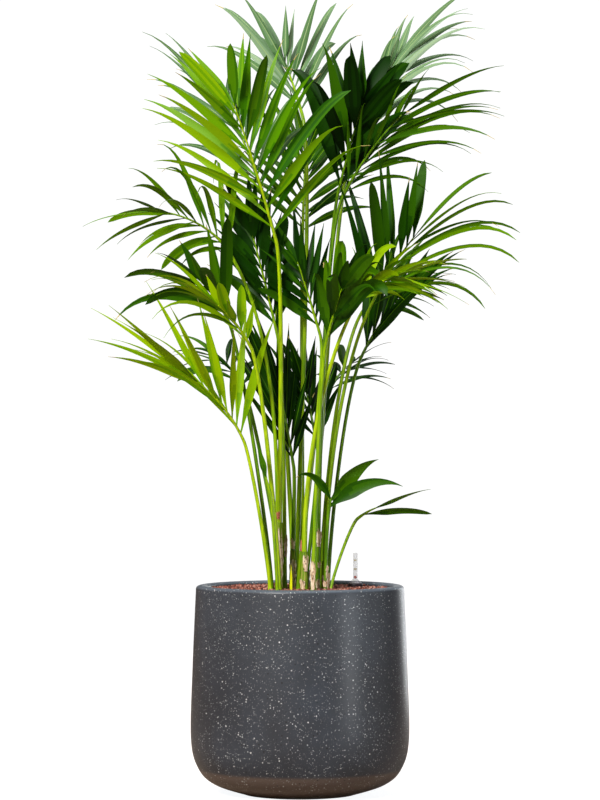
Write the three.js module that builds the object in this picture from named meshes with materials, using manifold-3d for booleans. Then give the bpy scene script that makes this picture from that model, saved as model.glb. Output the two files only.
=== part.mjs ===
// Potted kentia palm, in millimetres, +Z up, origin at the centre of the pot's flat underside.
// A clump of young palms from one root stands in a round planter filled with clay granules.
import * as THREE from 'three';
import { mergeVertices } from 'three/addons/utils/BufferGeometryUtils.js';
import Module from 'manifold-3d';

const wasm = await Module();
wasm.setup();

// Driving dimensions
const GAP = 0.3;
const POT_HEIGHT = 333;
const POT_SIDES = 44;
const FOOT_RADIUS = 80;
const HEEL = [136, 17.5];
const TURN = [163, 41];
const BELLY = [174.5, 88];
const SHOULDER = [172, 200];
const RIM_RADIUS = 166.5;
const WALL = 18;
const LIP_RISE = 5;
const FLOOR = 26;
const INNER_HEEL = 118;
const INNER_BELLY = [152, 84];
const SURFACE = POT_HEIGHT - 8;

const GAUGE_PLACE = [90, 92];
const GAUGE_FOOT_RADIUS = 12.2;
const GAUGE_FOOT_HEIGHT = 13;
const GAUGE_TUBE_RADIUS = 3.7;
const GAUGE_TUBE_HEIGHT = 42;

const SHOOT_PLACE = [-14, -40];
const SHOOT_RADIUS = 3;
const SHOOT_HEIGHT = 42;
const STEM_FOOT_RADIUS = 7;
const STEM_TOP_RADIUS = 5.4;
const STEM_SIDES = 8;
const PETIOLE_SIDES = 5;
const PETIOLE_STEPS = 8;
const RACHIS_SIDES = 4;
const RACHIS_STEPS = 4;
const COLLAR_RADIUS = 2.8;
const RACHIS_TIP_RADIUS = 1.9;
const LEAF_CLEARANCE = 0.5;
const SPINE_STEPS = 12;
const LEAF_STATIONS = [0, 4, 8, 12];
const FREE_STATIONS = [2, 4, 8, 12];
const ROOT_HALF_WIDTH = 0.9;
const ROOT_THICKNESS = 1.2;
const LEAF_THINNESS = 0.013;
const LEAF_SEED = 7919;

// Colours
const POT_GREY = 0x5c6571;
const CLAY = 0xa9674f;
const SHEATH_BROWN = 0xb08f66;
const CLEAR_GREY = 0xb9bcc0;
const LEAF_GREENS = { bright: 0x6f9d12, mid: 0x4d7a1c, dark: 0x22420f, grey: 0x5b7d52 };
const PETIOLE_GREEN = 0x8fb41a;
const SHOOT_YELLOW = 0xcfd21e;

const palm = new THREE.Group();

function addMesh(name, geometry, colour, roughness) {
  const material = new THREE.MeshStandardMaterial({ color: colour, roughness, metalness: 0 });
  const mesh = new THREE.Mesh(geometry, material);
  mesh.name = name;
  palm.add(mesh);
  return mesh;
}

function radians(degrees) {
  return (degrees * Math.PI) / 180;
}

function mix(a, b, share) {
  return a + (b - a) * share;
}

// A turned body: its profile of [radius, height] pairs starts and ends on the axis.
function turned(profile, sides) {
  const points = profile.map(([radius, height]) => new THREE.Vector2(radius, height));
  return new THREE.LatheGeometry(points, sides).rotateX(Math.PI / 2);
}

function arcPoints(centreRadius, centreHeight, halfWidth, rise, steps) {
  const arc = new THREE.EllipseCurve(centreRadius, centreHeight, halfWidth, rise, 0, Math.PI);
  return arc.getPoints(steps).map((point) => [point.x, point.y]);
}

function splinePoints(pairs, steps) {
  const spline = new THREE.SplineCurve(pairs.map(([r, h]) => new THREE.Vector2(r, h)));
  return spline.getPoints(steps).map((point) => [point.x, point.y]);
}

// The planter: a flat foot, a soft turn into an almost upright wall, and a rounded lip.
function makePot() {
  const lipBase = POT_HEIGHT - LIP_RISE;
  const outside = splinePoints(
    [[FOOT_RADIUS, 0], HEEL, TURN, BELLY, SHOULDER, [RIM_RADIUS, lipBase]],
    11,
  );
  const lip = arcPoints(RIM_RADIUS - WALL / 2, lipBase, WALL / 2, LIP_RISE, 4);
  const inside = [INNER_BELLY, [INNER_HEEL, FLOOR], [0, FLOOR]];
  addMesh('pot', turned([[0, 0], ...outside, ...lip.slice(1), ...inside], POT_SIDES), POT_GREY, 0.5);
}

// The granules fill the planter and keep a hair's breadth from its wall.
function makeGranules() {
  const top = RIM_RADIUS - WALL - GAP;
  const profile = [
    [0, FLOOR + GAP],
    [INNER_HEEL - GAP, FLOOR + GAP],
    [INNER_BELLY[0] - GAP, INNER_BELLY[1]],
    [top, SURFACE],
    [0, SURFACE],
  ];
  addMesh('clay_granules', turned(profile, POT_SIDES), CLAY, 0.9);
}

// The water gauge: a domed foot on the granules and a clear tube above it.
function makeGauge() {
  const footTop = GAUGE_FOOT_HEIGHT;
  const foot = [
    [0, 0],
    [GAUGE_FOOT_RADIUS, 0],
    [GAUGE_FOOT_RADIUS, footTop * 0.2],
    [GAUGE_FOOT_RADIUS * 0.8, footTop * 0.6],
    [GAUGE_TUBE_RADIUS + 1.6, footTop],
    [0, footTop],
  ];
  const tube = [
    [0, 0],
    [GAUGE_TUBE_RADIUS, 0],
    [GAUGE_TUBE_RADIUS, GAUGE_TUBE_HEIGHT - 2],
    [GAUGE_TUBE_RADIUS - 1.6, GAUGE_TUBE_HEIGHT],
    [0, GAUGE_TUBE_HEIGHT],
  ];
  const base = SURFACE + GAP;
  addMesh('gauge_foot', turned(foot, 16), CLEAR_GREY, 0.3).position.set(...GAUGE_PLACE, base);
  const tubeMesh = addMesh('gauge_tube', turned(tube, 12), CLEAR_GREY, 0.2);
  tubeMesh.position.set(...GAUGE_PLACE, base + footTop + GAP);
}

// A limb or leaflet: a cylinder whose rings are moved onto stations along a curve.
// Each station has a centre, two directions square to the curve, and a half size along each.
function bentSolid(sides, stations, pointed) {
  const last = stations.length - 1;
  const tipRadius = pointed ? 0 : 1;
  const geometry = new THREE.CylinderGeometry(tipRadius, 1, 1, sides, last);
  const position = geometry.attributes.position;
  const moved = new THREE.Vector3();
  for (let index = 0; index < position.count; index += 1) {
    const along = Math.round((position.getY(index) + 0.5) * last);
    const ring = pointed ? 1 - along / last : 1;
    const station = stations[along];
    moved.copy(station.centre);
    if (ring > 0) {
      moved.addScaledVector(station.across, (position.getX(index) / ring) * station.halfAcross);
      moved.addScaledVector(station.up, (position.getZ(index) / ring) * station.halfUp);
    }
    position.setXYZ(index, moved.x, moved.y, moved.z);
  }
  geometry.deleteAttribute('normal');
  geometry.deleteAttribute('uv');
  return mergeVertices(geometry, 1e-4);
}

function toManifold(geometry) {
  const vertices = new Float32Array(geometry.attributes.position.array);
  const indices = new Uint32Array(geometry.index.array);
  return new wasm.Manifold(new wasm.Mesh({ numProp: 3, vertProperties: vertices, triVerts: indices }));
}

function toGeometry(manifold) {
  const mesh = manifold.getMesh();
  const geometry = new THREE.BufferGeometry();
  geometry.setAttribute('position', new THREE.Float32BufferAttribute(mesh.vertProperties, 3));
  geometry.setIndex(new THREE.Uint32BufferAttribute(mesh.triVerts, 1));
  return geometry;
}

// Random numbers that are the same each time
function seeded(seed) {
  let state = seed;
  return () => {
    state = (state * 48271) % 2147483647;
    return state / 2147483647;
  };
}

// A young shoot, still without a leaf: a slim cone among the petioles
function makeShoot() {
  const shoot = new THREE.ConeGeometry(SHOOT_RADIUS, SHOOT_HEIGHT, STEM_SIDES).rotateX(Math.PI / 2);
  const mesh = addMesh('shoot', shoot, SHOOT_YELLOW, 0.45);
  mesh.position.set(...SHOOT_PLACE, SURFACE + GAP + SHOOT_HEIGHT / 2);
}

// The short sheathed stems, each under one petiole
const STEMS = {
  stem_left: { foot: [-33, -8], height: 108 },
  stem_middle: { foot: [-11, 24], height: 62 },
  stem_front: { foot: [7, -27], height: 62 },
  stem_right: { foot: [23, 9], height: 58 },
  stem_edge: { foot: [40, 0], height: 46 },
};

// One side's leaflets: how many, their reach at the collar, the middle and the tip, and how far they
// open from the rachis at the collar and the tip. sag and broad scale the frond's droop and width.
function makeSide(count, reach, open, scales = {}) {
  return { count, reach, open, sag: 1, broad: 1, ...scales };
}

// foot is where the petiole leaves the granules, or names its stem. The leaflets begin at the collar,
// and the rachis ends at the tip. arch is how much steeper the rachis starts than it ends, face is the
// direction of the right-hand leaflets in plan, in degrees from +X. ease is the share of the petiole
// that each end takes to straighten, and sway bows it backwards. droop bends the leaflets down, hook
// only their ends, and width is the widest leaflet's.
const USUAL = { arch: 0.3, face: 0, ease: 0.12, sway: 0, droop: 0.5, hook: 0 };

function makeFrond(foot, collar, tip, left, right, habit) {
  return { ...USUAL, foot, collar, tip, left, right, ...habit };
}

const FRONDS = {
  front_tall: makeFrond(
    'stem_left', [-38, -50, 882], [-104, -120, 1094],
    makeSide(9, [215, 225, 120], [42, 20], { sag: 0.75 }),
    makeSide(10, [215, 215, 108], [54, 18]),
    { arch: 0.15, droop: 0.42, hook: 0.4, width: 17, petiole: 4.4, green: 'bright' },
  ),
  front_small: makeFrond(
    [-33, -30], [-78, -70, 713], [-128, -120, 777],
    makeSide(6, [200, 180, 130], [14, 8], { broad: 0.8 }),
    makeSide(4, [76, 70, 60], [36, 14], { sag: 0.15, broad: 1.3 }),
    { arch: 0.35, droop: 1.2, hook: 0.4, width: 15, petiole: 4.4, green: 'bright' },
  ),
  upper_right: makeFrond(
    'stem_right', [60, -10, 957], [98, -60, 1095],
    makeSide(6, [225, 180, 100], [36, 16]),
    makeSide(6, [165, 165, 95], [26, 12]),
    { arch: 0.15, droop: 0.4, hook: 0.6, width: 22, petiole: 4.4, green: 'dark' },
  ),
  right_mid: makeFrond(
    'stem_edge', [108, 0, 769], [182, -40, 889],
    makeSide(6, [205, 205, 120], [40, 28], { sag: 0.3, broad: 1.35 }),
    makeSide(8, [215, 245, 165], [38, 6], { broad: 0.75 }),
    { ease: 0.27, droop: 1, hook: 0.7, width: 15, petiole: 4, green: 'mid' },
  ),
  left_low: makeFrond(
    [-47, -18], [-90, -10, 565], [-177, -60, 668],
    makeSide(5, [215, 215, 190], [8, 8], { broad: 0.8 }),
    makeSide(6, [215, 175, 195], [38, 9], { sag: 0.6, broad: 1.15 }),
    { arch: 0.6, droop: 0.6, width: 16, petiole: 3.8, green: 'bright' },
  ),
  left_arch: makeFrond(
    [-36, 26], [-108, -25, 857], [-226, -70, 928],
    makeSide(7, [80, 125, 130], [52, 30]),
    makeSide(7, [195, 150, 105], [40, 24]),
    { arch: 0.9, ease: 0.3, droop: 1.1, hook: 0.4, width: 15, petiole: 3.8, green: 'mid' },
  ),
  left_wide: makeFrond(
    [-45, 4], [-114, -10, 755], [-158, -60, 818],
    makeSide(4, [240, 140, 80], [42, 14]),
    makeSide(4, [210, 110, 70], [30, 4], { sag: 0.4, broad: 1.25 }),
    { droop: 1, hook: 0.5, width: 19, petiole: 3.8, green: 'dark' },
  ),
  right_sweep: makeFrond(
    [28, -13], [67, -30, 950], [160, -90, 1078],
    makeSide(4, [150, 120, 90], [26, 14]),
    makeSide(8, [140, 230, 178], [32, 18]),
    { arch: 0.35, droop: 0.85, hook: 0.4, width: 15, petiole: 4.2, green: 'dark' },
  ),
  centre_right: makeFrond(
    [21, -34], [41, -45, 717], [66, -100, 805],
    makeSide(4, [145, 125, 90], [24, 8]),
    makeSide(4, [155, 135, 95], [22, 10]),
    { arch: 0.2, droop: 0.2, hook: 2, width: 24, petiole: 3.6, green: 'mid' },
  ),
  right_bow: makeFrond(
    'stem_front', [87, -50, 779], [164, -95, 822],
    makeSide(6, [100, 100, 80], [24, 12]),
    makeSide(6, [80, 125, 118], [30, 16]),
    { arch: 1, ease: 0.3, sway: 4, droop: 1, width: 14, petiole: 4.6, green: 'bright' },
  ),
  inner_left: makeFrond(
    [-24, 10], [-36, 10, 733], [-80, 0, 909],
    makeSide(6, [140, 130, 90], [34, 14]),
    makeSide(6, [130, 140, 90], [32, 12]),
    { arch: 0.1, droop: 0.4, width: 17, petiole: 4, green: 'mid' },
  ),
  inner_right: makeFrond(
    [-3, 4], [32, -4, 733], [-4, -26, 849],
    makeSide(5, [120, 110, 80], [38, 12]),
    makeSide(6, [130, 130, 100], [34, 10]),
    { arch: 0.1, sway: -4, droop: 0.4, width: 16, petiole: 3.8, green: 'mid' },
  ),
  centre_low_left: makeFrond(
    'stem_middle', [-10, 20, 521], [-31, 36, 640],
    makeSide(6, [165, 180, 140], [22, 5]),
    makeSide(5, [100, 165, 130], [24, 6]),
    { arch: 0.1, droop: 0.25, width: 19, petiole: 3.6, green: 'dark' },
  ),
  centre_low_right: makeFrond(
    [10, 42], [28, 45, 553], [6, 90, 661],
    makeSide(5, [150, 140, 105], [40, 8]),
    makeSide(5, [110, 110, 85], [34, 10]),
    { arch: 0.1, droop: 0.3, width: 19, petiole: 3.4, green: 'dark' },
  ),
  right_low: makeFrond(
    [45, 24], [98, 30, 697], [160, 40, 789],
    makeSide(4, [140, 140, 105], [26, 12], { sag: 0.4, broad: 1.2 }),
    makeSide(4, [185, 180, 140], [8, 2]),
    { arch: 0.4, ease: 0.18, droop: 0.5, hook: 0.3, width: 20, petiole: 3.6, green: 'dark' },
  ),
  upper_left_back: makeFrond(
    [-10, 44], [-62, 50, 967], [-120, 120, 1113],
    makeSide(6, [130, 245, 150], [36, 14]),
    makeSide(6, [160, 140, 85], [44, 18]),
    { arch: 0.2, face: 10, sway: 16, droop: 0.45, hook: 0.5, width: 17, petiole: 4.2, green: 'grey' },
  ),
  top_back: makeFrond(
    [-6, 54], [4, 60, 1089], [-26, 120, 1185],
    makeSide(6, [225, 200, 110], [32, 8]),
    makeSide(7, [200, 185, 95], [46, 14], { broad: 0.8 }),
    { arch: 0.15, droop: 0.3, hook: 0.4, width: 20, petiole: 4.2, green: 'grey' },
  ),
  upper_right_back: makeFrond(
    [22, 38], [84, 40, 1037], [160, 120, 1190],
    makeSide(6, [140, 120, 100], [14, 12]),
    makeSide(8, [220, 235, 175], [24, 8]),
    { arch: 0.25, sway: -4, droop: 0.85, hook: 0.4, width: 15, petiole: 4.2, green: 'grey' },
  ),
  right_arch: makeFrond(
    [34, 50], [100, 60, 771], [176, 130, 833],
    makeSide(7, [120, 130, 100], [46, 18]),
    makeSide(7, [110, 120, 90], [42, 18]),
    { arch: 0.5, face: 15, ease: 0.2, droop: 0.8, width: 16, petiole: 3.8, green: 'mid' },
  ),
  rear_high: makeFrond(
    [4, 74], [4, 110, 895], [10, 205, 1050],
    makeSide(8, [170, 165, 110], [50, 16]),
    makeSide(8, [150, 150, 110], [50, 16]),
    { arch: 0.3, face: 10, droop: 0.6, width: 18, petiole: 4.2, green: 'mid' },
  ),
  rear_left_low: makeFrond(
    [-28, 64], [-90, 100, 645], [-140, 170, 700],
    makeSide(5, [110, 120, 90], [50, 20]),
    makeSide(5, [110, 120, 90], [50, 20]),
    { arch: 0.5, face: 40, droop: 1.3, width: 16, petiole: 3.6, green: 'dark' },
  ),
  rear_right_low: makeFrond(
    [20, 68], [46, 96, 640], [86, 190, 690],
    makeSide(5, [90, 90, 80], [40, 20]),
    makeSide(5, [100, 110, 80], [50, 20]),
    { arch: 0.3, face: -25, droop: 0.8, width: 15, petiole: 3.6, green: 'dark' },
  ),
  seedling_fork: makeFrond(
    [40, -26], [46, -30, 453], [50, -35, 474],
    makeSide(1, [84, 84, 84], [38, 38], { broad: 0.6 }),
    makeSide(2, [150, 118, 104], [46, 30], { sag: 0.4 }),
    { arch: 0, droop: 2.5, width: 30, petiole: 2.8, green: 'dark' },
  ),
  seedling_right: makeFrond(
    [49, -22], [92, 25, 438], [122, 14, 456],
    makeSide(0, [0, 0, 0], [0, 0]),
    makeSide(2, [122, 112, 104], [28, 10]),
    { arch: 0.2, droop: 0.5, width: 18, petiole: 2.6, green: 'mid' },
  ),
  spear: makeFrond(
    [-36, -50], [-48, -64, 484], [-54, -66, 508],
    makeSide(1, [64, 64, 64], [2, 2]),
    makeSide(0, [0, 0, 0], [0, 0]),
    { arch: 0, droop: 0, width: 17, petiole: 2.8, green: 'mid' },
  ),
};

const UP = new THREE.Vector3(0, 0, 1);
const BACKWARD = new THREE.Vector3(0, 1, 0);

function stemTop(stem) {
  return SURFACE + GAP + stem.height;
}

function footPoint(frond) {
  if (typeof frond.foot === 'string') {
    const stem = STEMS[frond.foot];
    return new THREE.Vector3(...stem.foot, stemTop(stem) + GAP);
  }
  return new THREE.Vector3(...frond.foot, SURFACE + GAP);
}

// The rachis starts steeper than the straight line to its tip and bends over towards it.
function rachisCurve(frond) {
  const collar = new THREE.Vector3(...frond.collar);
  const tip = new THREE.Vector3(...frond.tip);
  const chord = tip.clone().sub(collar);
  const span = chord.length();
  const start = chord.divideScalar(span).addScaledVector(UP, frond.arch).normalize();
  const bend = collar.clone().addScaledVector(start, span / 2);
  return new THREE.QuadraticBezierCurve3(collar, bend, tip);
}

// The petiole leaves its foot upright and runs into the rachis in line. Its middle sways backwards.
class PetioleCurve extends THREE.Curve {
  constructor(frond) {
    super();
    const foot = footPoint(frond);
    const start = rachisCurve(frond).getTangent(0);
    const end = new THREE.Vector3(...frond.collar).addScaledVector(start, -GAP);
    const reach = end.distanceTo(foot) * frond.ease;
    const low = foot.clone().addScaledVector(UP, reach);
    const high = end.clone().addScaledVector(start, -reach);
    this.line = new THREE.CubicBezierCurve3(foot, low, high, end);
    this.sway = frond.sway;
  }

  getPoint(share, target = new THREE.Vector3()) {
    const bow = this.sway * Math.sin(Math.PI * share) ** 2;
    return this.line.getPoint(share, target).addScaledVector(BACKWARD, bow);
  }
}

function limbStation(curve, share, radius) {
  const tangent = curve.getTangent(share);
  const across = tangent.clone().cross(BACKWARD).normalize();
  return {
    centre: curve.getPoint(share),
    across,
    up: across.clone().cross(tangent),
    halfAcross: radius,
    halfUp: radius,
  };
}

function limbSolid(curve, steps, sides, radiusAt) {
  const stations = [];
  for (let step = 0; step <= steps; step += 1) {
    const share = step / steps;
    stations.push(limbStation(curve, share, radiusAt(share)));
  }
  return bentSolid(sides, stations, false);
}

// Where one leaflet runs: points from the rachis to its tip, with the blade's width and face.
// Leaflets near the tip are the stiffest. Neighbours are lifted a little differently, and each
// attempt lifts a leaflet further.
const LIFTS = [0, 8, -8, 16, -16, 24, -24, 32, -32, 42, -42];
const ALTERNATE_LIFTS = [2, 12, -6];

function leafletSpine(frond, rachis, sign, side, index, chance, extraLift) {
  const share = (index + 0.6 + (sign > 0 ? 0 : 0.25)) / side.count;
  const along = Math.min(mix(0.02, 1, share), 0.98);
  const tangent = rachis.getTangent(along);
  const plan = new THREE.Vector3(Math.cos(radians(frond.face)), Math.sin(radians(frond.face)), 0);
  const across = plan.addScaledVector(tangent, -plan.dot(tangent)).normalize();
  const face = tangent.clone().cross(across);
  if (face.z < 0) {
    face.negate();
  }
  const [first, middle, end] = side.reach;
  const reach = along < 0.5 ? mix(first, middle, along * 2) : mix(middle, end, along * 2 - 1);
  const length = reach * (0.94 + 0.12 * chance.reach);
  const open = radians(mix(side.open[0], side.open[1], along) + 8 * (chance.open - 0.5));
  const lift = radians(ALTERNATE_LIFTS[index % 3] + extraLift);
  const start = tangent.clone().multiplyScalar(Math.cos(open));
  start.addScaledVector(across, sign * Math.sin(open));
  start.multiplyScalar(Math.cos(lift)).addScaledVector(face, Math.sin(lift));
  const limp = (1.3 - 0.9 * along) * side.sag;
  const droop = limp * frond.droop * (0.8 + 0.4 * chance.droop);
  const hook = limp * frond.hook;
  const spine = [];
  const point = rachis.getPoint(along);
  for (let step = 0; step <= SPINE_STEPS; step += 1) {
    const share = step / SPINE_STEPS;
    const fall = droop * share ** 1.5 + hook * share ** 5;
    const heading = start.clone().addScaledVector(UP, -fall).normalize();
    const width = heading.clone().cross(face).normalize();
    spine.push({ centre: point.clone(), across: width, up: width.clone().cross(heading) });
    point.addScaledVector(heading, length / SPINE_STEPS);
  }
  return { spine, length, halfWidth: (frond.width * side.broad) / 2 };
}

// The blade is narrow at its root, widest a third of the way along, and drawn out to a point.
function bladeShape(share) {
  return 0.16 * (1 - share) ** 2 + Math.max(Math.sin(Math.PI * share ** 0.65), 0) ** 0.8;
}

function leafletSolid(leaflet, extra, steps) {
  const thickness = Math.max(2, leaflet.length * LEAF_THINNESS);
  const stations = steps.map((step) => {
    const share = step / SPINE_STEPS;
    const halfWidth = Math.max(leaflet.halfWidth * bladeShape(share), ROOT_HALF_WIDTH);
    const thick = mix(ROOT_THICKNESS, thickness, Math.min(share * 3, 1));
    return {
      ...leaflet.spine[step],
      halfAcross: (halfWidth + extra) / Math.sin(Math.PI / 3),
      halfUp: (thick + extra * 2) / 1.5,
    };
  });
  return toManifold(bentSolid(3, stations, true));
}

function overlaps(solid, others) {
  const box = solid.boundingBox();
  return others.some((other) => {
    const apart = [0, 1, 2].some((axis) => box.min[axis] > other.box.max[axis]
      || box.max[axis] < other.box.min[axis]);
    return !apart && solid.intersect(other.solid).volume() > 0;
  });
}

function kept(solid, owner) {
  return { solid, owner, box: solid.boundingBox() };
}

// Leaflets that cross can seal a hollow between them. Only the outer skin is kept, so it is filled.
function outerBody(manifold) {
  const bodies = manifold.decompose();
  return bodies.reduce((best, body) => (body.volume() > best.volume() ? body : best));
}

// All limbs are placed first, then the leaflets frond by frond. One that touches is lifted, step by
// step, and left out if no step is clear.
function growPlant() {
  const placed = [];
  const rachises = {};
  for (const [name, stem] of Object.entries(STEMS)) {
    const geometry = new THREE.CylinderGeometry(STEM_TOP_RADIUS, STEM_FOOT_RADIUS, stem.height, STEM_SIDES);
    geometry.rotateX(Math.PI / 2).translate(...stem.foot, SURFACE + GAP + stem.height / 2);
    addMesh(name, geometry, SHEATH_BROWN, 0.9);
  }
  for (const [name, frond] of Object.entries(FRONDS)) {
    const curve = new PetioleCurve(frond);
    const tapering = (share) => mix(frond.petiole, COLLAR_RADIUS, share);
    const petiole = limbSolid(curve, PETIOLE_STEPS, PETIOLE_SIDES, tapering);
    addMesh(`petiole_${name}`, petiole, PETIOLE_GREEN, 0.45);
    placed.push(kept(toManifold(petiole), 'petiole'));
    const rachis = rachisCurve(frond);
    const thinning = (share) => mix(COLLAR_RADIUS, RACHIS_TIP_RADIUS, share);
    rachises[name] = toManifold(limbSolid(rachis, RACHIS_STEPS, RACHIS_SIDES, thinning));
    placed.push(kept(rachises[name], name));
  }
  for (const [order, [name, frond]] of Object.entries(FRONDS).entries()) {
    const others = placed.filter((item) => item.owner !== name);
    const own = [];
    const rachis = rachisCurve(frond);
    const draw = seeded(LEAF_SEED * (order + 1));
    for (const [sign, side] of [[-1, frond.left], [1, frond.right]]) {
      for (let index = 0; index < side.count; index += 1) {
        const chance = { reach: draw(), open: draw(), droop: draw() };
        const choices = LIFTS.map((lift) => leafletSpine(frond, rachis, sign, side, index, chance, lift));
        const clear = choices.filter((leaflet) => (
          !overlaps(leafletSolid(leaflet, LEAF_CLEARANCE, LEAF_STATIONS), others)
        ));
        const apart = clear.find((leaflet) => (
          !overlaps(leafletSolid(leaflet, 0, FREE_STATIONS), own)
        ));
        const chosen = apart ?? clear[0];
        if (chosen) {
          own.push(kept(leafletSolid(chosen, 0, LEAF_STATIONS), name));
        }
      }
    }
    placed.push(...own);
    const whole = outerBody(own.reduce((sum, leaflet) => sum.add(leaflet.solid), rachises[name]));
    addMesh(`frond_${name}`, toGeometry(whole), LEAF_GREENS[frond.green], 0.5);
  }
}

makePot();
makeGranules();
makeGauge();
makeShoot();
growPlant();

export default palm;
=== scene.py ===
# %% [markdown]
# # A potted kentia palm
#
# The real object is a clump of young kentia palms that share one root. It stands in a planter of dark,
# speckled composite stone, filled nearly to the rim with clay granules, and a small water gauge pokes
# out of the granules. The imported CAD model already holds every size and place. This lesson puts the
# real surfaces around it: a turned planter, loose grains, papery sheaths, and a few hundred leaflets.

# %% Start from the fixed frame
import math

import bpy
import numpy as np
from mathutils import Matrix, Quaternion, Vector
from mathutils.bvhtree import BVHTree


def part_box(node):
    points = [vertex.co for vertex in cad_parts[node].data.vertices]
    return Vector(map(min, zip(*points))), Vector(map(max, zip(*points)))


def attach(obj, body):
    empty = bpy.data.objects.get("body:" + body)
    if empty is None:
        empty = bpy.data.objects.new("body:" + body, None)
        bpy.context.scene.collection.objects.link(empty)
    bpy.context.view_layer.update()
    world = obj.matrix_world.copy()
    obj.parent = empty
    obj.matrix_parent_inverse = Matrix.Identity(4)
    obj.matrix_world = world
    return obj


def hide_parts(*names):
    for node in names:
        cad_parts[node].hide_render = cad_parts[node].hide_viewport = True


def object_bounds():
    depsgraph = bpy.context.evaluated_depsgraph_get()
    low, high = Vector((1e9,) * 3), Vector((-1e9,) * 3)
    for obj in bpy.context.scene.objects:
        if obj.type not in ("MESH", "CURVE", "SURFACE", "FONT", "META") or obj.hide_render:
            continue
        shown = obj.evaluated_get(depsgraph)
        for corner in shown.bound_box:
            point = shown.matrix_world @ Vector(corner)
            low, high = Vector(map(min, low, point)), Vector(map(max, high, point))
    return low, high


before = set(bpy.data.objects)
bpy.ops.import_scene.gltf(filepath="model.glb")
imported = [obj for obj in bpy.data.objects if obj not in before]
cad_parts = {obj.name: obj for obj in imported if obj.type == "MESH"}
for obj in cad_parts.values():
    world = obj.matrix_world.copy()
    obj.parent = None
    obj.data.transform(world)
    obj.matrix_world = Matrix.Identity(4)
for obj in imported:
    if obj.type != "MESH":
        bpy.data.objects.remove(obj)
cad_low, cad_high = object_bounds()
MM = 0.001
UP = Vector((0, 0, 1))
BACKWARD = Vector((0, 1, 0))
print("nodes in the frame:", len(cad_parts))
print("size of the CAD model in metres:", [round(x, 3) for x in cad_high - cad_low])

# %% [markdown]
# ## The camera
#
# The rim of the planter is a circle, and the photograph shows it as a thin ellipse. How thin it is, and
# how far the granules lie under the near rim, tell where the camera stood: 5.6 m away, level, and just
# under halfway up the plant. A long lens from far away keeps the leaves at the front from swelling.

# %% Place the camera
CAMERA_DISTANCE = 5.6
CAMERA_HEIGHT = 0.629
VIEW_HEIGHT = 1.28
SENSOR = 36.0

camera_data = bpy.data.cameras.new("camera")
camera_data.sensor_width = SENSOR
camera_data.lens = SENSOR * CAMERA_DISTANCE / VIEW_HEIGHT
camera = bpy.data.objects.new("camera", camera_data)
camera.location = (0, -CAMERA_DISTANCE, CAMERA_HEIGHT)
camera.rotation_euler = (math.radians(90), 0, 0)
bpy.context.scene.collection.objects.link(camera)
bpy.context.scene.camera = camera
print("lens in mm:", round(camera_data.lens, 1))

# %% [markdown]
# ## Shader maths as plain expressions
#
# Nodes are easier to read as formulas. `Wire` wraps one socket, and an operator on it adds the Math
# node that it stands for, so `1 - mask * 0.5` reads as it would on paper. `NodeTree` adds every other
# node by one method: the settings are set first, then the values or wires of its sockets. `Finish` is
# the node tree of one material, with a few shorthands for the patterns that this plant needs.


# %% Wires, node trees and finishes
class Wire:
    def __init__(self, nodes, socket):
        self.nodes = nodes
        self.socket = socket

    def maths(self, operation, first, second):
        return self.nodes.node("ShaderNodeMath", {"operation": operation}, {0: first, 1: second})

    def __add__(self, other):
        return self.maths("ADD", self, other)

    def __radd__(self, other):
        return self.maths("ADD", other, self)

    def __sub__(self, other):
        return self.maths("SUBTRACT", self, other)

    def __rsub__(self, other):
        return self.maths("SUBTRACT", other, self)

    def __mul__(self, other):
        return self.maths("MULTIPLY", self, other)

    def __rmul__(self, other):
        return self.maths("MULTIPLY", other, self)

    def __lt__(self, other):
        return self.maths("LESS_THAN", self, other)


class NodeTree:
    def __init__(self, tree):
        self.tree = tree

    def feed(self, node, inputs):
        for key, value in inputs.items():
            socket = node.inputs[key]
            if isinstance(value, Wire):
                self.tree.links.new(value.socket, socket)
            elif socket.type == "RGBA":
                socket.default_value = (*value, 1)
            else:
                socket.default_value = value

    def node(self, kind, settings=None, inputs=None, output=0):
        node = self.tree.nodes.new(kind)
        for key, value in (settings or {}).items():
            if key == "stops":
                for index, (place, tone) in enumerate(value):
                    ramp = node.color_ramp.elements
                    stop = ramp[index] if index < 2 else ramp.new(place)
                    stop.position = place
                    stop.color = (*tone, 1)
            else:
                setattr(node, key, value)
        self.feed(node, inputs or {})
        return Wire(self, node.outputs[output])

    def mixed(self, share, first, second):
        inputs = {"Factor": share, 6: first, 7: second}
        return self.node("ShaderNodeMix", {"data_type": "RGBA"}, inputs, 2)

    def ramp(self, value, *stops):
        """A colour for each value. The stops are pairs of a value and a linear colour."""
        return self.node("ShaderNodeValToRGB", {"stops": stops}, {"Fac": value}, "Color")


class Finish(NodeTree):
    def __init__(self, name, colour, roughness, **extra):
        self.material = bpy.data.materials.new(name)
        self.material.use_nodes = True
        super().__init__(self.material.node_tree)
        self.shader = self.tree.nodes["Principled BSDF"]
        self.feed(self.shader, {"Base Color": colour, "Roughness": roughness})
        self.feed(self.shader, {key.replace("_", " "): value for key, value in extra.items()})

    def place(self):
        return self.node("ShaderNodeTexCoord", output="Object")

    def noise(self, scale, detail=3.0, stretch=1):
        """Noise on the object's own coordinates, drawn out upwards where stretch is over 1."""
        squeeze = {"Vector": self.place(), "Scale": (1, 1, 1 / stretch)}
        place = self.node("ShaderNodeMapping", None, squeeze)
        pattern = {"Vector": place, "Scale": scale, "Detail": detail}
        return self.node("ShaderNodeTexNoise", None, pattern, "Fac")

    def bump(self, height, distance, strength=1.0):
        inputs = {"Height": height, "Distance": distance, "Strength": strength}
        self.feed(self.shader, {"Normal": self.node("ShaderNodeBump", None, inputs, "Normal")})


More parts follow.
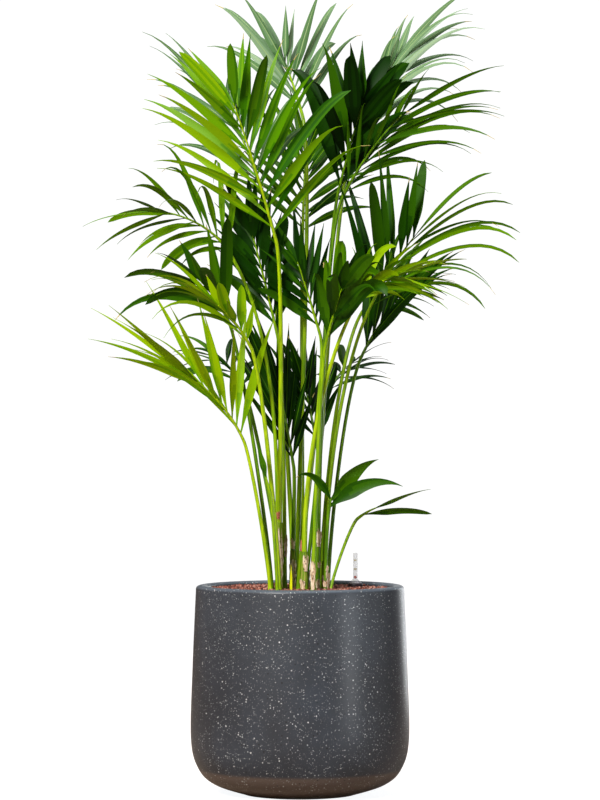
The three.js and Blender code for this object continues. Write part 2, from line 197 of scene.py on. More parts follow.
# %% [markdown]
# ## The studio
#
# The picture has a bare white background and soft light. The key light stands high in front, a little to
# the left, so every stalk is brighter on its left side than on its right. A soft box on the right draws
# the bluish sheen on the planter, and a dim panel next to it fills the flank beside the sheen. Behind the
# planter, a wide backdrop and a narrow strip draw the bright line down its right edge. A low fill has so
# narrow a spread that it lights the planter's lower wall and no leaves, and one light hangs overhead.
#
# The world around the scene could be plain white, but it would flood every shadow. So it looks white to
# the camera only. As light it is dim, and brown on the left side, as the planter's left edge shows.


# %% Studio helpers
def deselect_all():
    if bpy.context.object and bpy.context.object.mode != "OBJECT":
        bpy.ops.object.mode_set(mode="OBJECT")
    bpy.ops.object.select_all(action="DESELECT")


def linear(*tone):
    """A colour as a screen shows it, 0 to 255 for each channel, as the numbers that light adds up in."""
    shares = [channel / 255 for channel in tone]
    return tuple(s / 12.92 if s <= 0.04045 else ((s + 0.055) / 1.055) ** 2.4 for s in shares)


def add_area_light(name, place, aim, size, power, tint=(1, 1, 1), spread=180):
    data = bpy.data.lights.new(name, "AREA")
    data.shape = "RECTANGLE"
    data.size, data.size_y = size
    data.energy = power
    data.color = tint
    data.spread = math.radians(spread)
    light = bpy.data.objects.new(name, data)
    light.location = place
    light.rotation_euler = (Vector(aim) - Vector(place)).to_track_quat("-Z", "Y").to_euler()
    light.visible_camera = False
    bpy.context.scene.collection.objects.link(light)


# %% Light the studio
add_area_light("key", (-2.5, -4.4, 3.6), (0, 0, 0.7), (1.5, 1.5), 440, (1.0, 0.98, 0.94))
add_area_light("right_box", (3.6, -2.0, 0.95), (0, 0, 0.3), (2.0, 1.4), 5.5, (0.74, 0.87, 1.0))
add_area_light("side_panel", (3.8, -0.3, 0.5), (0, 0, 0.25), (2.2, 1.2), 5, (0.94, 0.97, 1.0))
add_area_light("low_fill", (2.7, -1.9, 0.3), (0, 0, 0.18), (4.2, 0.4), 1.3, (0.9, 0.95, 1.0), 24)
add_area_light("backdrop", (1.0, 3.2, 0.5), (0, 0, 0.4), (2.6, 1.0), 10)
add_area_light("top", (0.3, 0.6, 3.4), (0, 0, 0.6), (2.0, 2.0), 40)
add_area_light("right_strip", (1.05, 1.95, 0.45), (0, 0, 0.2), (0.3, 1.3), 6, (0.9, 0.96, 1.0))

WHITE = (1.05, 1.05, 1.05)
BROWN_WALL = (0.12, 0.075, 0.045)
GREY_WALL = (0.13, 0.13, 0.13)
COOL_WALL = (0.2, 0.22, 0.24)
world = bpy.data.worlds.new("studio")
world.use_nodes = True
bpy.context.scene.world = world
studio = NodeTree(world.node_tree)
direction = studio.node("ShaderNodeTexCoord", output="Generated")
sideways = studio.node("ShaderNodeSeparateXYZ", None, {"Vector": direction}, "X")
walls = studio.ramp(sideways * 0.5 + 0.5, (0.3, BROWN_WALL), (0.45, GREY_WALL), (1, COOL_WALL))
is_camera = studio.node("ShaderNodeLightPath", output="Is Camera Ray")
studio.feed(studio.tree.nodes["Background"], {"Color": studio.mixed(is_camera, walls, WHITE)})
bpy.context.scene.view_settings.view_transform = "Standard"
print("lights:", [light.name for light in bpy.data.lights])

# %% [markdown]
# ## The floor
#
# The floor is a plain pale disc. To the camera it shines, as an overlit sweep of paper does, and melts
# into the white background. To everything else it is a warm, dim floor, so it doesn't flood the leaves
# with light from below, and the foot of the planter reflects it as a brown glow.

# %% Make the floor
FLOOR_RADIUS = 3.2
deselect_all()
bpy.ops.mesh.primitive_circle_add(vertices=96, radius=FLOOR_RADIUS, fill_type="NGON")
floor = bpy.context.object
floor.name = "studio_floor"
floor_finish = Finish("floor_paper", (0.34, 0.26, 0.2), 0.9, Emission_Strength=1.0)
seen_floor = floor_finish.node("ShaderNodeLightPath", output="Is Camera Ray")
floor_glow = floor_finish.mixed(seen_floor, (0.02, 0.014, 0.01), (0.92, 0.94, 0.96))
floor_finish.feed(floor_finish.shader, {"Emission Color": floor_glow})
floor.data.materials.append(floor_finish.material)
print("floor radius:", FLOOR_RADIUS)

# %% [markdown]
# ## The planter
#
# The real planter is cast: a flat foot, a soft turn, an almost upright wall that leans in a little, and a
# rounded lip. Its profile could be spun round in one go. Here it is modelled as one works on a wheel,
# which is easier to follow: a disc at the foot is extruded ring by ring, each ring lifted and widened or
# narrowed to the profile. The profile itself is a smooth curve through six pairs of radius and height,
# then an arc for the lip.

# %% The planter's profile
FOOT_RADIUS = 90 * MM
HEEL = (138.5 * MM, 16.5 * MM)
TURN = (163 * MM, 41 * MM)
BELLY = (174.5 * MM, 88 * MM)
SHOULDER = (172 * MM, 200 * MM)
RIM_RADIUS = 166.5 * MM
WALL = 18 * MM
LIP_RISE = 5 * MM
INNER_TURN = (152 * MM, 84 * MM)
INNER_FLOOR = (118 * MM, 26 * MM)
SPAN_STEPS = 8
LIP_STEPS = 14
pot_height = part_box("pot")[1].z


def smooth_through(points, steps):
    """A Catmull-Rom curve through the points, with the given number of steps in each span."""
    ends = [points[0], *points, points[-1]]
    found = []
    for a, b, c, d in zip(ends, ends[1:], ends[2:], ends[3:]):
        a, b, c, d = (np.array(p) for p in (a, b, c, d))
        for step in range(steps):
            t = step / steps
            bend = (2 * a - 5 * b + 4 * c - d) * t**2 + (3 * b - a - 3 * c + d) * t**3
            found.append((2 * b + (c - a) * t + bend) / 2)
    return [tuple(p) for p in found] + [tuple(points[-1])]


def arc(centre_radius, centre_height, half_width, rise, steps):
    """Half an ellipse, from the outer side over the top to the inner side."""
    angles = [math.pi * step / steps for step in range(1, steps + 1)]
    return [(centre_radius + half_width * math.cos(a), centre_height + rise * math.sin(a)) for a in angles]


lip_base = pot_height - LIP_RISE
corners = [(FOOT_RADIUS, 0), HEEL, TURN, BELLY, SHOULDER, (RIM_RADIUS, lip_base)]
outside = smooth_through(corners, SPAN_STEPS)
lip = arc(RIM_RADIUS - WALL / 2, lip_base, WALL / 2, LIP_RISE, LIP_STEPS)
profile = [*outside, *lip, INNER_TURN, INNER_FLOOR]
print("rings in the profile:", len(profile))


# %% Turn the planter ring by ring
def point_outwards():
    bpy.ops.mesh.select_all(action="SELECT")
    bpy.ops.mesh.normals_make_consistent(inside=False)
    bpy.ops.object.mode_set(mode="OBJECT")


def smooth(angle):
    bpy.ops.object.shade_smooth_by_angle(angle=math.radians(angle))


def turn(name, rings, sides, centre=(0, 0)):
    """A turned piece: a disc that is extruded along (radius, height) pairs round an upright axis."""
    deselect_all()
    first_radius, first_height = rings[0]
    place = (*centre, first_height)
    bpy.ops.mesh.primitive_circle_add(vertices=sides, radius=first_radius, fill_type="NGON", location=place)
    piece = bpy.context.object
    piece.name = name
    bpy.ops.object.mode_set(mode="EDIT")
    for (radius, height), (next_radius, next_height) in zip(rings, rings[1:]):
        lift = {"value": (0, 0, next_height - height)}
        bpy.ops.mesh.extrude_region_move(TRANSFORM_OT_translate=lift)
        grow = next_radius / radius
        bpy.ops.transform.resize(value=(grow, grow, 1), center_override=(*centre, next_height))
    point_outwards()
    bpy.ops.object.transform_apply(location=True)
    smooth(50)
    print(name, "has", len(piece.data.polygons), "faces")
    return piece


POT_SIDES = 160
planter = turn("planter", profile, POT_SIDES)

# %% [markdown]
# The cast stone is a dark blue grey, a little cloudy, with countless tiny white chips and fewer dark pits
# in it. A picture of stone could be wrapped round the wall, but it would show a seam. A Voronoi pattern
# has none. It gives each cell of space one chip: the chip shows where the distance to the cell's point is
# less than a radius that differs from cell to cell, so the wall cuts chips of all sizes. Three sizes of
# cell make flour, dust and grit, and a slow noise gathers the two finest into loose clouds. Pits are the
# same idea, pressed in by the bump.
#
# Three marks are painted light, and all three go by height, read from the object's coordinates. Painted
# light makes the wall a touch paler towards the top, a painted highlight makes the lip paler still, and
# below the turn a painted reflection of the warm floor makes the planter browner, with a fairly sharp edge.

# %% Cast stone with chips and pits
stone = Finish("cast_stone", (0.05, 0.05, 0.05), 0.5, IOR=1.45)
crowding = stone.noise(22.0, 2.0)


def chips(cell, largest, crowd=0.0):
    """1 inside the chips of one cell size, else 0, and the cell's own random tone."""
    inputs = {"Vector": stone.place(), "Scale": 1 / cell}
    distance = stone.node("ShaderNodeTexVoronoi", None, inputs, "Distance")
    colour = stone.node("ShaderNodeTexVoronoi", None, inputs, "Color")
    size = stone.node("ShaderNodeSeparateColor", None, {"Color": colour}, "Red")
    tone = stone.node("ShaderNodeSeparateColor", None, {"Color": colour}, "Green")
    reach = size * size * (largest / cell) * (1 - crowd + crowding * (2 * crowd))
    return distance < reach, tone


def height_zone(finish, start, end):
    """0 at one height and 1 at another, with a soft change between them."""
    height = finish.node("ShaderNodeSeparateXYZ", None, {"Vector": finish.place()}, "Z")
    inputs = {"Value": height, "From Min": start, "From Max": end}
    return finish.node("ShaderNodeMapRange", {"interpolation_type": "SMOOTHSTEP"}, inputs, "Result")


cloud = stone.noise(9.0, 2.0)
fine_cloud = stone.noise(60.0, 3.0)
base = stone.ramp(cloud, (0.3, linear(48, 50, 56)), (0.7, linear(61, 67, 77)))
base = stone.mixed(fine_cloud * 0.4, base, linear(42, 43, 47))
foot_painted_reflection = height_zone(stone, TURN[1] + 3 * MM, TURN[1] - 4 * MM)
lip_painted_highlight = height_zone(stone, pot_height - 5.5 * MM, pot_height - 1.5 * MM)
upper_painted_light = height_zone(stone, 0.45 * pot_height, pot_height)
# Painted light: the upper wall is mixed paler towards the top.
base = stone.mixed(upper_painted_light * 0.25, base, linear(82, 90, 100))
# Painted reflection: the warm floor shows as a brown tone below the turn.
base = stone.mixed(foot_painted_reflection * 0.75, base, linear(104, 88, 78))
# Painted highlight: the lip is mixed to a paler blue grey.
base = stone.mixed(lip_painted_highlight * 0.55, base, linear(112, 124, 138))
flour, flour_tone = chips(1.8 * MM, 0.48 * MM, 0.4)
dust, dust_tone = chips(2.9 * MM, 0.72 * MM, 0.4)
grit, grit_tone = chips(6.4 * MM, 1.1 * MM)
pits, _ = chips(7 * MM, 1.5 * MM)
base = stone.mixed(flour * (0.1 + flour_tone * 0.6), base, linear(214, 220, 222))
base = stone.mixed(dust * (0.5 + dust_tone * 0.5), base, linear(250, 254, 254))
base = stone.mixed(grit * (0.6 + grit_tone * 0.4), base, linear(255, 255, 255))
base = stone.mixed(pits * 0.8, base, linear(22, 22, 24))
stone.feed(stone.shader, {"Base Color": base, "Roughness": 0.28 + cloud * 0.14})
stone.bump(stone.noise(420.0, 4.0) * 0.25 - pits, 0.25 * MM, 0.6)
print("nodes in the stone's finish:", len(stone.tree.nodes))

planter.data.materials.append(stone.material)
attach(planter, "root")
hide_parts("pot")

# %% [markdown]
# ## The clay granules
#
# Fired clay comes out of the kiln in more than one tone. One uneven finish would blotch every grain, so
# there are three, from a dark brown to a pale red, and a grain gets one of them. Each has painted shade
# that turns it darker deep down in the bed, where little light comes. The filling itself is the CAD
# model's own solid, in a dark clay that is painted shade. It shows only in the chinks between the loose
# grains, and those are laid on it after the plant, because no grain may lie where something grows.

# %% Fired clay
clay_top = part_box("clay_granules")[1].z


def clay_finish(name, deep, pale):
    """Fired clay of one tone, with a dusty grain, and painted shade that darkens it deep in the bed."""
    finish = Finish(name, linear(*pale), 0.75)
    tone = finish.ramp(finish.noise(260.0, 2.0), (0.35, linear(*deep)), (0.62, linear(*pale)))
    # Painted shade: the clay is mixed darker where it lies deep in the bed.
    painted_deep_shade = height_zone(finish, clay_top + 2.6 * MM, clay_top - 0.8 * MM)
    finish.feed(finish.shader, {"Base Color": finish.mixed(painted_deep_shade * 0.85, tone, linear(34, 12, 8))})
    finish.bump(finish.noise(1500.0, 3.0), 0.2 * MM)
    return finish


clay_finishes = [
    clay_finish("fired_clay_dark", (60, 26, 18), (104, 54, 40)),
    clay_finish("fired_clay_red", (112, 54, 42), (172, 98, 80)),
    clay_finish("fired_clay_pale", (156, 94, 78), (214, 160, 144)),
]

# The filling's dark clay is painted shade: it stands for the shadow in the chinks between the grains.
painted_shade_clay = Finish("painted_shade_clay", linear(40, 18, 12), 0.9)
painted_shade_tone = painted_shade_clay.mixed(painted_shade_clay.noise(230.0, 2.0), linear(26, 10, 8), linear(56, 26, 20))
painted_shade_clay.feed(painted_shade_clay.shader, {"Base Color": painted_shade_tone})
painted_shade_clay.bump(painted_shade_clay.noise(230.0, 2.0), 1.5 * MM)

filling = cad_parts["clay_granules"]
filling.data.materials.clear()
filling.data.materials.append(painted_shade_clay.material)
print("the filling reaches up to", round(clay_top, 4))

# %% [markdown]
# ## How the plant grows
#
# The clump is worked out from a table of fronds, by the same rule as the CAD model. Each frond has a
# petiole, the bare stalk, and a rachis, the part that carries the leaflets. A row gives the foot, or the
# stem that the frond grows from, then the collar, where the leaflets begin, and the tip. The left and the
# right half follow: how many leaflets, their reach near the collar, in the middle and near the tip, the
# angles they open at there, how limp they are and how broad.
#
# The rest is habit. `arch` is how much steeper the rachis starts, `face` turns its plane, `ease` is how
# long the petiole keeps its direction at both ends, and `sway` bows it back. `droop` bends the leaflets
# down and `hook` their tips. Every frond gets more and slimmer leaflets than in the CAD model: `finer`
# multiplies how many there are, and `slim` narrows them. `blunt` is the share of them that end blunt, and
# `shade` is painted light and shade: how deep the green is on the left and on the right half, lighter on
# a half that faces the light and deeper on one that lies in shade.

# %% The table of stems and fronds, in millimetres
STEMS = {
    "stem_left": ((-33, -8), 108),
    "stem_middle": ((-11, 24), 62),
    "stem_front": ((7, -27), 62),
    "stem_right": ((23, 9), 58),
    "stem_edge": ((40, 0), 46),
}


def side(count, reach, opening, sag=1, broad=1):
    return {"count": count, "reach": reach, "open": opening, "sag": sag, "broad": broad}


def frond(foot, collar, tip, left, right, **habit):
    usual = {"arch": 0.3, "face": 0, "ease": 0.12, "sway": 0, "droop": 0.5, "hook": 0}
    # By default the right half gets the deeper painted shade, as the key light comes from the left.
    usual.update(finer=1.4, slim=0.85, blunt=0.08, shade=(1.6, 2.8))
    return {**usual, "foot": foot, "collar": collar, "tip": tip, "left": left, "right": right, **habit}


FRONDS = {
    "front_tall": frond(
        "stem_left", (-38, -50, 882), (-104, -120, 1094),
        side(9, (215, 225, 120), (42, 20), sag=0.75), side(10, (215, 215, 108), (54, 18), broad=1.12),
        arch=0.15, droop=0.42, hook=0.4, width=17, petiole=4.4,
        green="bright", finer=1.2, slim=1.05, shade=(1.2, 2.6)),
    "front_small": frond(
        (-33, -30), (-78, -70, 713), (-128, -120, 777),
        side(6, (200, 180, 130), (14, 8), broad=0.8), side(4, (76, 70, 60), (36, 14), sag=0.15, broad=1.3),
        arch=0.35, droop=1.2, hook=0.4, width=15, petiole=4.4,
        green="bright", finer=1.3, blunt=0.2, shade=(0.6, 1.0)),
    "upper_right": frond(
        "stem_right", (60, -10, 957), (98, -60, 1095),
        side(6, (225, 180, 100), (36, 16)), side(6, (165, 165, 95), (26, 12)),
        arch=0.15, droop=0.4, hook=0.6, width=22, petiole=4.4,
        green="dark", slim=1.15, blunt=0.6, shade=(2.7, 3.1)),
    "right_mid": frond(
        "stem_edge", (108, 0, 769), (182, -40, 889),
        side(6, (205, 205, 120), (40, 28), sag=0.3, broad=1.35),
        side(8, (215, 245, 165), (38, 6), broad=0.54),
        ease=0.27, droop=1, hook=0.7, width=15, petiole=4,
        green="mid", blunt=0.4, shade=(3.5, 0.3)),
    "left_low": frond(
        (-47, -18), (-90, -10, 565), (-177, -60, 668),
        side(5, (215, 215, 190), (8, 8), broad=0.8), side(6, (215, 175, 195), (38, 9), sag=0.6, broad=1.15),
        arch=0.6, droop=0.6, width=16, petiole=3.8,
        green="bright", finer=1.6, shade=(0.2, 0.7)),
    "left_arch": frond(
        (-36, 26), (-108, -25, 857), (-226, -70, 928),
        side(7, (80, 125, 130), (52, 30)), side(7, (195, 150, 105), (40, 24)),
        arch=0.9, ease=0.3, droop=1.1, hook=0.4, width=15, petiole=3.8,
        green="mid", slim=0.84, shade=(-0.3, -0.2)),
    "left_wide": frond(
        (-45, 4), (-114, -10, 755), (-158, -60, 818),
        side(4, (240, 140, 80), (42, 14)), side(4, (210, 110, 70), (30, 4), sag=0.4, broad=1.25),
        droop=1, hook=0.5, width=19, petiole=3.8,
        green="dark", finer=1.3, slim=0.9, blunt=0.5, shade=(1, 1)),
    "right_sweep": frond(
        (28, -13), (67, -30, 950), (160, -90, 1078),
        side(4, (150, 120, 90), (26, 14)), side(8, (140, 230, 178), (32, 18)),
        arch=0.35, droop=0.85, hook=0.4, width=15, petiole=4.2,
        green="dark", finer=1.7, slim=0.68, shade=(0, -0.6)),
    "centre_right": frond(
        (21, -34), (41, -45, 717), (66, -100, 805),
        side(4, (145, 125, 90), (24, 8)), side(4, (155, 135, 95), (22, 10)),
        arch=0.2, droop=0.2, hook=2, width=24, petiole=3.6,
        green="mid", finer=1.5, slim=0.95, blunt=0.3, shade=(1.8, 2.2)),
    "right_bow": frond(
        "stem_front", (87, -50, 779), (164, -95, 822),
        side(6, (100, 100, 80), (24, 12)), side(6, (80, 125, 118), (30, 16)),
        arch=1, ease=0.3, sway=4, droop=1, width=14, petiole=4.6,
        green="bright", finer=1.5, blunt=0.3, shade=(0.6, 0.8)),
    "inner_left": frond(
        (-24, 10), (-36, 10, 733), (-80, 0, 909),
        side(6, (140, 130, 90), (34, 14)), side(6, (130, 140, 90), (32, 12)),
        arch=0.1, droop=0.4, width=17, petiole=4,
        green="mid", finer=1.6, slim=1.2, shade=(4.2, 4.6)),
    "inner_right": frond(
        (-3, 4), (32, -4, 733), (-4, -26, 849),
        side(5, (120, 110, 80), (38, 12)), side(6, (130, 130, 100), (34, 10)),
        arch=0.1, sway=-4, droop=0.4, width=16, petiole=3.8,
        green="mid", slim=1, shade=(3.8, 4.4)),
    "centre_low_left": frond(
        "stem_middle", (-10, 20, 521), (-31, 36, 640),
        side(6, (165, 180, 140), (22, 5)), side(5, (100, 165, 130), (24, 6)),
        arch=0.1, droop=0.25, width=19, petiole=3.6,
        green="dark", finer=1.3, slim=0.9, shade=(3, 3.4)),
    "centre_low_right": frond(
        (10, 42), (28, 45, 553), (6, 90, 661),
        side(5, (150, 140, 105), (40, 8)), side(5, (110, 110, 85), (34, 10)),
        arch=0.1, droop=0.3, width=19, petiole=3.4,
        green="dark", finer=1.3, slim=1, shade=(3, 3.6)),
    "right_low": frond(
        (45, 24), (98, 30, 697), (160, 40, 789),
        side(4, (140, 140, 105), (26, 12), sag=0.4, broad=1.2), side(4, (185, 180, 140), (8, 2)),
        arch=0.4, ease=0.18, hook=0.3, width=20, petiole=3.6,
        green="dark", finer=1.2, slim=0.9, shade=(2.6, 2.6)),
    "upper_left_back": frond(
        (-10, 44), (-62, 50, 967), (-120, 120, 1113),
        side(6, (130, 245, 150), (36, 14)), side(6, (160, 140, 85), (44, 18)),
        arch=0.2, face=10, sway=16, droop=0.45, hook=0.5, width=17, petiole=4.2,
        green="grey", finer=1.5, slim=0.9, shade=(2, 3)),
    "top_back": frond(
        (-6, 54), (4, 60, 1089), (-26, 120, 1185),
        side(6, (225, 200, 110), (32, 8)), side(7, (200, 185, 95), (46, 14), broad=0.8),
        arch=0.15, droop=0.3, hook=0.4, width=20, petiole=4.2,
        green="grey", finer=1.1, slim=0.95, blunt=0.3, shade=(1.4, 2.6)),
    "upper_right_back": frond(
        (22, 38), (84, 40, 1037), (160, 120, 1190),
        side(6, (140, 120, 100), (14, 12)), side(8, (220, 235, 175), (24, 8)),
        arch=0.25, sway=-4, droop=0.85, hook=0.4, width=15, petiole=4.2,
        green="grey", finer=1.6, slim=1, shade=(1.4, 0.8)),
    "right_arch": frond(
        (34, 50), (100, 60, 771), (176, 130, 833),
        side(7, (120, 130, 100), (46, 18)), side(7, (110, 120, 90), (42, 18)),
        arch=0.5, face=15, ease=0.2, droop=0.8, width=16, petiole=3.8,
        green="mid", finer=1.5),
    "rear_high": frond(
        (4, 74), (4, 110, 895), (10, 205, 1050),
        side(8, (170, 165, 110), (50, 16)), side(8, (150, 150, 110), (50, 16)),
        face=10, droop=0.6, width=18, petiole=4.2,
        green="mid", finer=1.5),
    "rear_left_low": frond(
        (-28, 64), (-90, 100, 645), (-140, 170, 700),
        side(5, (110, 120, 90), (50, 20)), side(5, (110, 120, 90), (50, 20)),
        arch=0.5, face=40, droop=1.3, width=16, petiole=3.6,
        green="dark"),
    "rear_right_low": frond(
        (20, 68), (46, 96, 640), (86, 190, 690),
        side(5, (90, 90, 80), (40, 20)), side(5, (100, 110, 80), (50, 20)),
        face=-25, droop=0.8, width=15, petiole=3.6,
        green="dark"),
    "seedling_fork": frond(
        (40, -26), (46, -30, 453), (50, -35, 474),
        side(1, (84, 84, 84), (38, 38), broad=0.6), side(2, (150, 118, 104), (46, 30), sag=0.4),
        arch=0, droop=2.5, width=30, petiole=2.8,
        green="dark", finer=1, slim=1, shade=(0, 0)),
    "seedling_right": frond(
        (49, -22), (92, 25, 438), (122, 14, 456),
        side(0, (0, 0, 0), (0, 0)), side(2, (122, 112, 104), (28, 10)),
        arch=0.2, width=18, petiole=2.6,
        green="mid", finer=1, slim=1, shade=(0.2, 0.2)),
    "spear": frond(
        (-36, -50), (-48, -64, 484), (-54, -66, 508),
        side(1, (64, 64, 64), (2, 2)), side(0, (0, 0, 0), (0, 0)),
        arch=0, droop=0, width=17, petiole=2.8,
        green="mid", finer=1),
}
print("fronds:", len(FRONDS))

# %% [markdown]
# ## Limbs
#
# A rachis starts steeper than the straight line to its tip and bends over towards it. A petiole leaves
# the granules upright and runs into its rachis in line. Both are Bezier curves, and together they make
# one limb that tapers all the way, with a shallow channel down the side that faces the clump. A curve
# with a round bevel could draw the limb, but not its channel, so its rings are worked out here.

# %% The curves of a limb
GAP = 0.3
COLLAR_RADIUS = 2.8
RACHIS_TIP_RADIUS = 1.1
surface = clay_top / MM


def mix(a, b, share):
    return a + (b - a) * share


def bezier(points, share):
    """The point at a share of a Bezier curve of any degree."""
    while len(points) > 1:
        points = [a.lerp(b, share) for a, b in zip(points, points[1:])]
    return points[0]


def rachis_points(habit):
    collar, tip = Vector(habit["collar"]), Vector(habit["tip"])
    chord = tip - collar
    start = (chord.normalized() + UP * habit["arch"]).normalized()
    return [collar, collar + start * (chord.length / 2), tip]


def foot_point(habit):
    if isinstance(habit["foot"], str):
        (x, y), height = STEMS[habit["foot"]]
        return Vector((x, y, surface + GAP + height + GAP))
    return Vector((*habit["foot"], surface + GAP))


def petiole_point(habit, share):
    foot = foot_point(habit)
    collar, bend, _ = rachis_points(habit)
    start = (bend - collar).normalized()
    reach = (collar - foot).length * habit["ease"]
    at = bezier([foot, foot + UP * reach, collar - start * reach, collar], share)
    return at + BACKWARD * habit["sway"] * math.sin(math.pi * share) ** 2


print("the highest stalk starts at", [round(x) for x in foot_point(FRONDS["top_back"])])


# %% [markdown]
# Stalks, stems, scraps of sheath and leaflets are all made of rings of points. They could be hundreds of
# objects joined at the end, but that is slow. One class gathers the rings of many of them instead, and
# makes one mesh of them all from arrays. Each face remembers its finish, so one piece has many tones.


# %% Meshes from rings of points
def add_smooth(name, mesh, angle):
    """An object for the mesh, shaded smooth but for edges sharper than the angle."""
    made = bpy.data.objects.new(name, mesh)
    bpy.context.scene.collection.objects.link(made)
    deselect_all()
    made.select_set(True)
    bpy.context.view_layer.objects.active = made
    smooth(angle)
    return made


class Growth:
    """Collects rings of points that become one joined mesh, with a finish for each column of faces."""

    def __init__(self):
        self.points = []
        self.faces = []
        self.finishes = []

    def sleeve(self, rings, finish, thin=False):
        """Joins each ring to the next and closes both ends. A thin ring goes out and back, so its ends
        are closed by joining each point to the one across. finish(row, column) picks a face's finish."""
        count = len(rings[0])
        base = sum(len(ring) for ring in self.points)
        last = base + (len(rings) - 1) * count
        self.points += rings
        for row in range(len(rings) - 1):
            low = base + row * count
            for column in range(count):
                after = (column + 1) % count
                self.faces.append((low + column, low + after, low + count + after, low + count + column))
                self.finishes.append(finish(row, column))
        if thin:
            for column in range(count // 2 - 1):
                across = count - 1 - column
                self.faces.append((base + column, base + across, base + across - 1, base + column + 1))
                self.faces.append((last + column, last + column + 1, last + across - 1, last + across))
                self.finishes += [finish(0, column), finish(len(rings) - 2, column)]
        else:
            self.faces.append(tuple(range(base + count - 1, base - 1, -1)))
            self.faces.append(tuple(range(last, last + count)))
            self.finishes += [finish(0, 0), finish(len(rings) - 2, 0)]

    def piece(self, name, finishes, angle=60):
        mesh = bpy.data.meshes.new(name)
        mesh.from_pydata(np.concatenate(self.points) * MM, [], self.faces)
        for finish in finishes:
            mesh.materials.append(finish.material)
        mesh.polygons.foreach_set("material_index", self.finishes)
        print(name, "has", sum(len(face) - 2 for face in self.faces), "triangles")
        return add_smooth(name, mesh, angle)


def upright_ring(x, y, z, radii):
    """A level ring round an upright axis, with one point for each radius."""
    angles = [2 * math.pi * number / len(radii) for number in range(len(radii))]
    return np.array([(x + r * math.cos(a), y + r * math.sin(a), z) for r, a in zip(radii, angles)])


def plain(index):
    """The same finish all over a sleeve."""
    return lambda row, column: index


# %% The rings of a limb
PETIOLE_STEPS = 30
RACHIS_STEPS = 12
CHANNEL_SHARPNESS = 6
FOOT_FLARE = 0.3
FLARE_SHARE = 0.07


def limb_centres(habit):
    """Centres and radii from the foot to the rachis tip."""
    found = []
    flared = 0 if isinstance(habit["foot"], str) else FOOT_FLARE
    for step in range(PETIOLE_STEPS):
        share = step / PETIOLE_STEPS
        flare = flared * max(0, 1 - share / FLARE_SHARE) ** 2
        radius = mix(habit["petiole"], COLLAR_RADIUS, share) * (1 + flare)
        found.append((petiole_point(habit, share), radius))
    for step in range(RACHIS_STEPS + 1):
        share = step / RACHIS_STEPS
        radius = mix(COLLAR_RADIUS, RACHIS_TIP_RADIUS, share)
        found.append((bezier(rachis_points(habit), share), radius))
    return found


def limb_rings(centres, sides, inward, channel):
    """Rings square to the limb, with a channel on the side that looks inward."""
    rings = []
    for index, (centre, radius) in enumerate(centres):
        before = centres[max(index - 1, 0)][0]
        after = centres[min(index + 1, len(centres) - 1)][0]
        tangent = (after - before).normalized()
        across = tangent.cross(BACKWARD).normalized()
        up = across.cross(tangent)
        towards = math.atan2(inward.dot(up), inward.dot(across))
        ring = []
        for corner in range(sides):
            angle = 2 * math.pi * corner / sides
            dent = 1 - channel * max(0, math.cos(angle - towards)) ** CHANNEL_SHARPNESS
            ring.append(centre + (across * math.cos(angle) + up * math.sin(angle)) * radius * dent)
        rings.append(np.array(ring))
    return rings


print("rings of a limb:", len(limb_centres(FRONDS["front_tall"])))


# %% Grow the limbs
LIMB_SIDES = 12
CHANNEL_DEPTH = 0.28
COARSE_EVERY = 3
COARSE_SIDES = 6


def tube_tree(points, corners):
    """A search tree for what touches a tube, given by the corners of its rings one after the other."""
    quads = []
    for low in range(0, len(points) - corners, corners):
        for corner in range(corners):
            after = (corner + 1) % corners
            quads.append((low + corner, low + after, low + corners + after, low + corners + corner))
    return BVHTree.FromPolygons(points, quads)


LIMB_TINTS = {"bright": 0, "mid": 1, "dark": 2, "grey": 1}
limbs = Growth()
limb_trees = {}
for name, habit in FRONDS.items():
    centres = limb_centres(habit)
    inward = Vector((-habit["collar"][0], -habit["collar"][1], 0)).normalized()
    limbs.sleeve(limb_rings(centres, LIMB_SIDES, inward, CHANNEL_DEPTH), plain(LIMB_TINTS[habit["green"]]))
    coarse = limb_rings(centres[::COARSE_EVERY] + centres[-1:], COARSE_SIDES, inward, 0)
    limb_trees[name] = tube_tree([Vector(point) for point in np.concatenate(coarse)], COARSE_SIDES)
print("limbs:", len(limb_trees))

# %% [markdown]
# The skin of a stalk is glossy and streaked along its length. A picture could be wrapped round it, but a
# noise drawn out upwards does it too. It feeds both the colour and a slight bump. Fronds of a lighter
# green have yellower stalks, so there are three tones.


# %% Finish the limbs
def stalk_finish(name, light, deep):
    """A fresh green with long deeper streaks."""
    finish = Finish(name, linear(*light), 0.36, Specular_IOR_Level=0.3)
    streaks = finish.noise(420.0, 2.0, stretch=25)
    skin = finish.ramp(streaks, (0.35, linear(*deep)), (0.6, linear(*light)))
    finish.feed(finish.shader, {"Base Color": skin})
    finish.bump(streaks, 0.15 * MM, 0.5)
    return finish


petiole_finishes = [
    stalk_finish("petiole_yellow_green", (176, 204, 0), (126, 166, 0)),
    stalk_finish("petiole_green", (146, 184, 0), (98, 146, 0)),
    stalk_finish("petiole_deep_green", (104, 150, 0), (62, 106, 0)),
]
stalks = limbs.piece("stalks", petiole_finishes, 80)
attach(stalks, "root")
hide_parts(*[f"petiole_{name}" for name in FRONDS])

# %% [markdown]
# ## Stems
#
# Five petioles grow from short stems. A stem is what is left of older stalks: a ridged core with a ring
# where each old leaf stood. Ridges and rings could be carved, but here they come with the radius. It
# shrinks a little up to each ring and jumps back there, and every second point of a ring lies deeper.

# %% Grow the stems
STEM_RADII = (7, 5.4)
STEM_COLUMNS = 24
RIDGE = 0.35
SCAR_SPACING = 15
SCAR_DEPTH = 0.5
STEM_RING_SPACING = 3


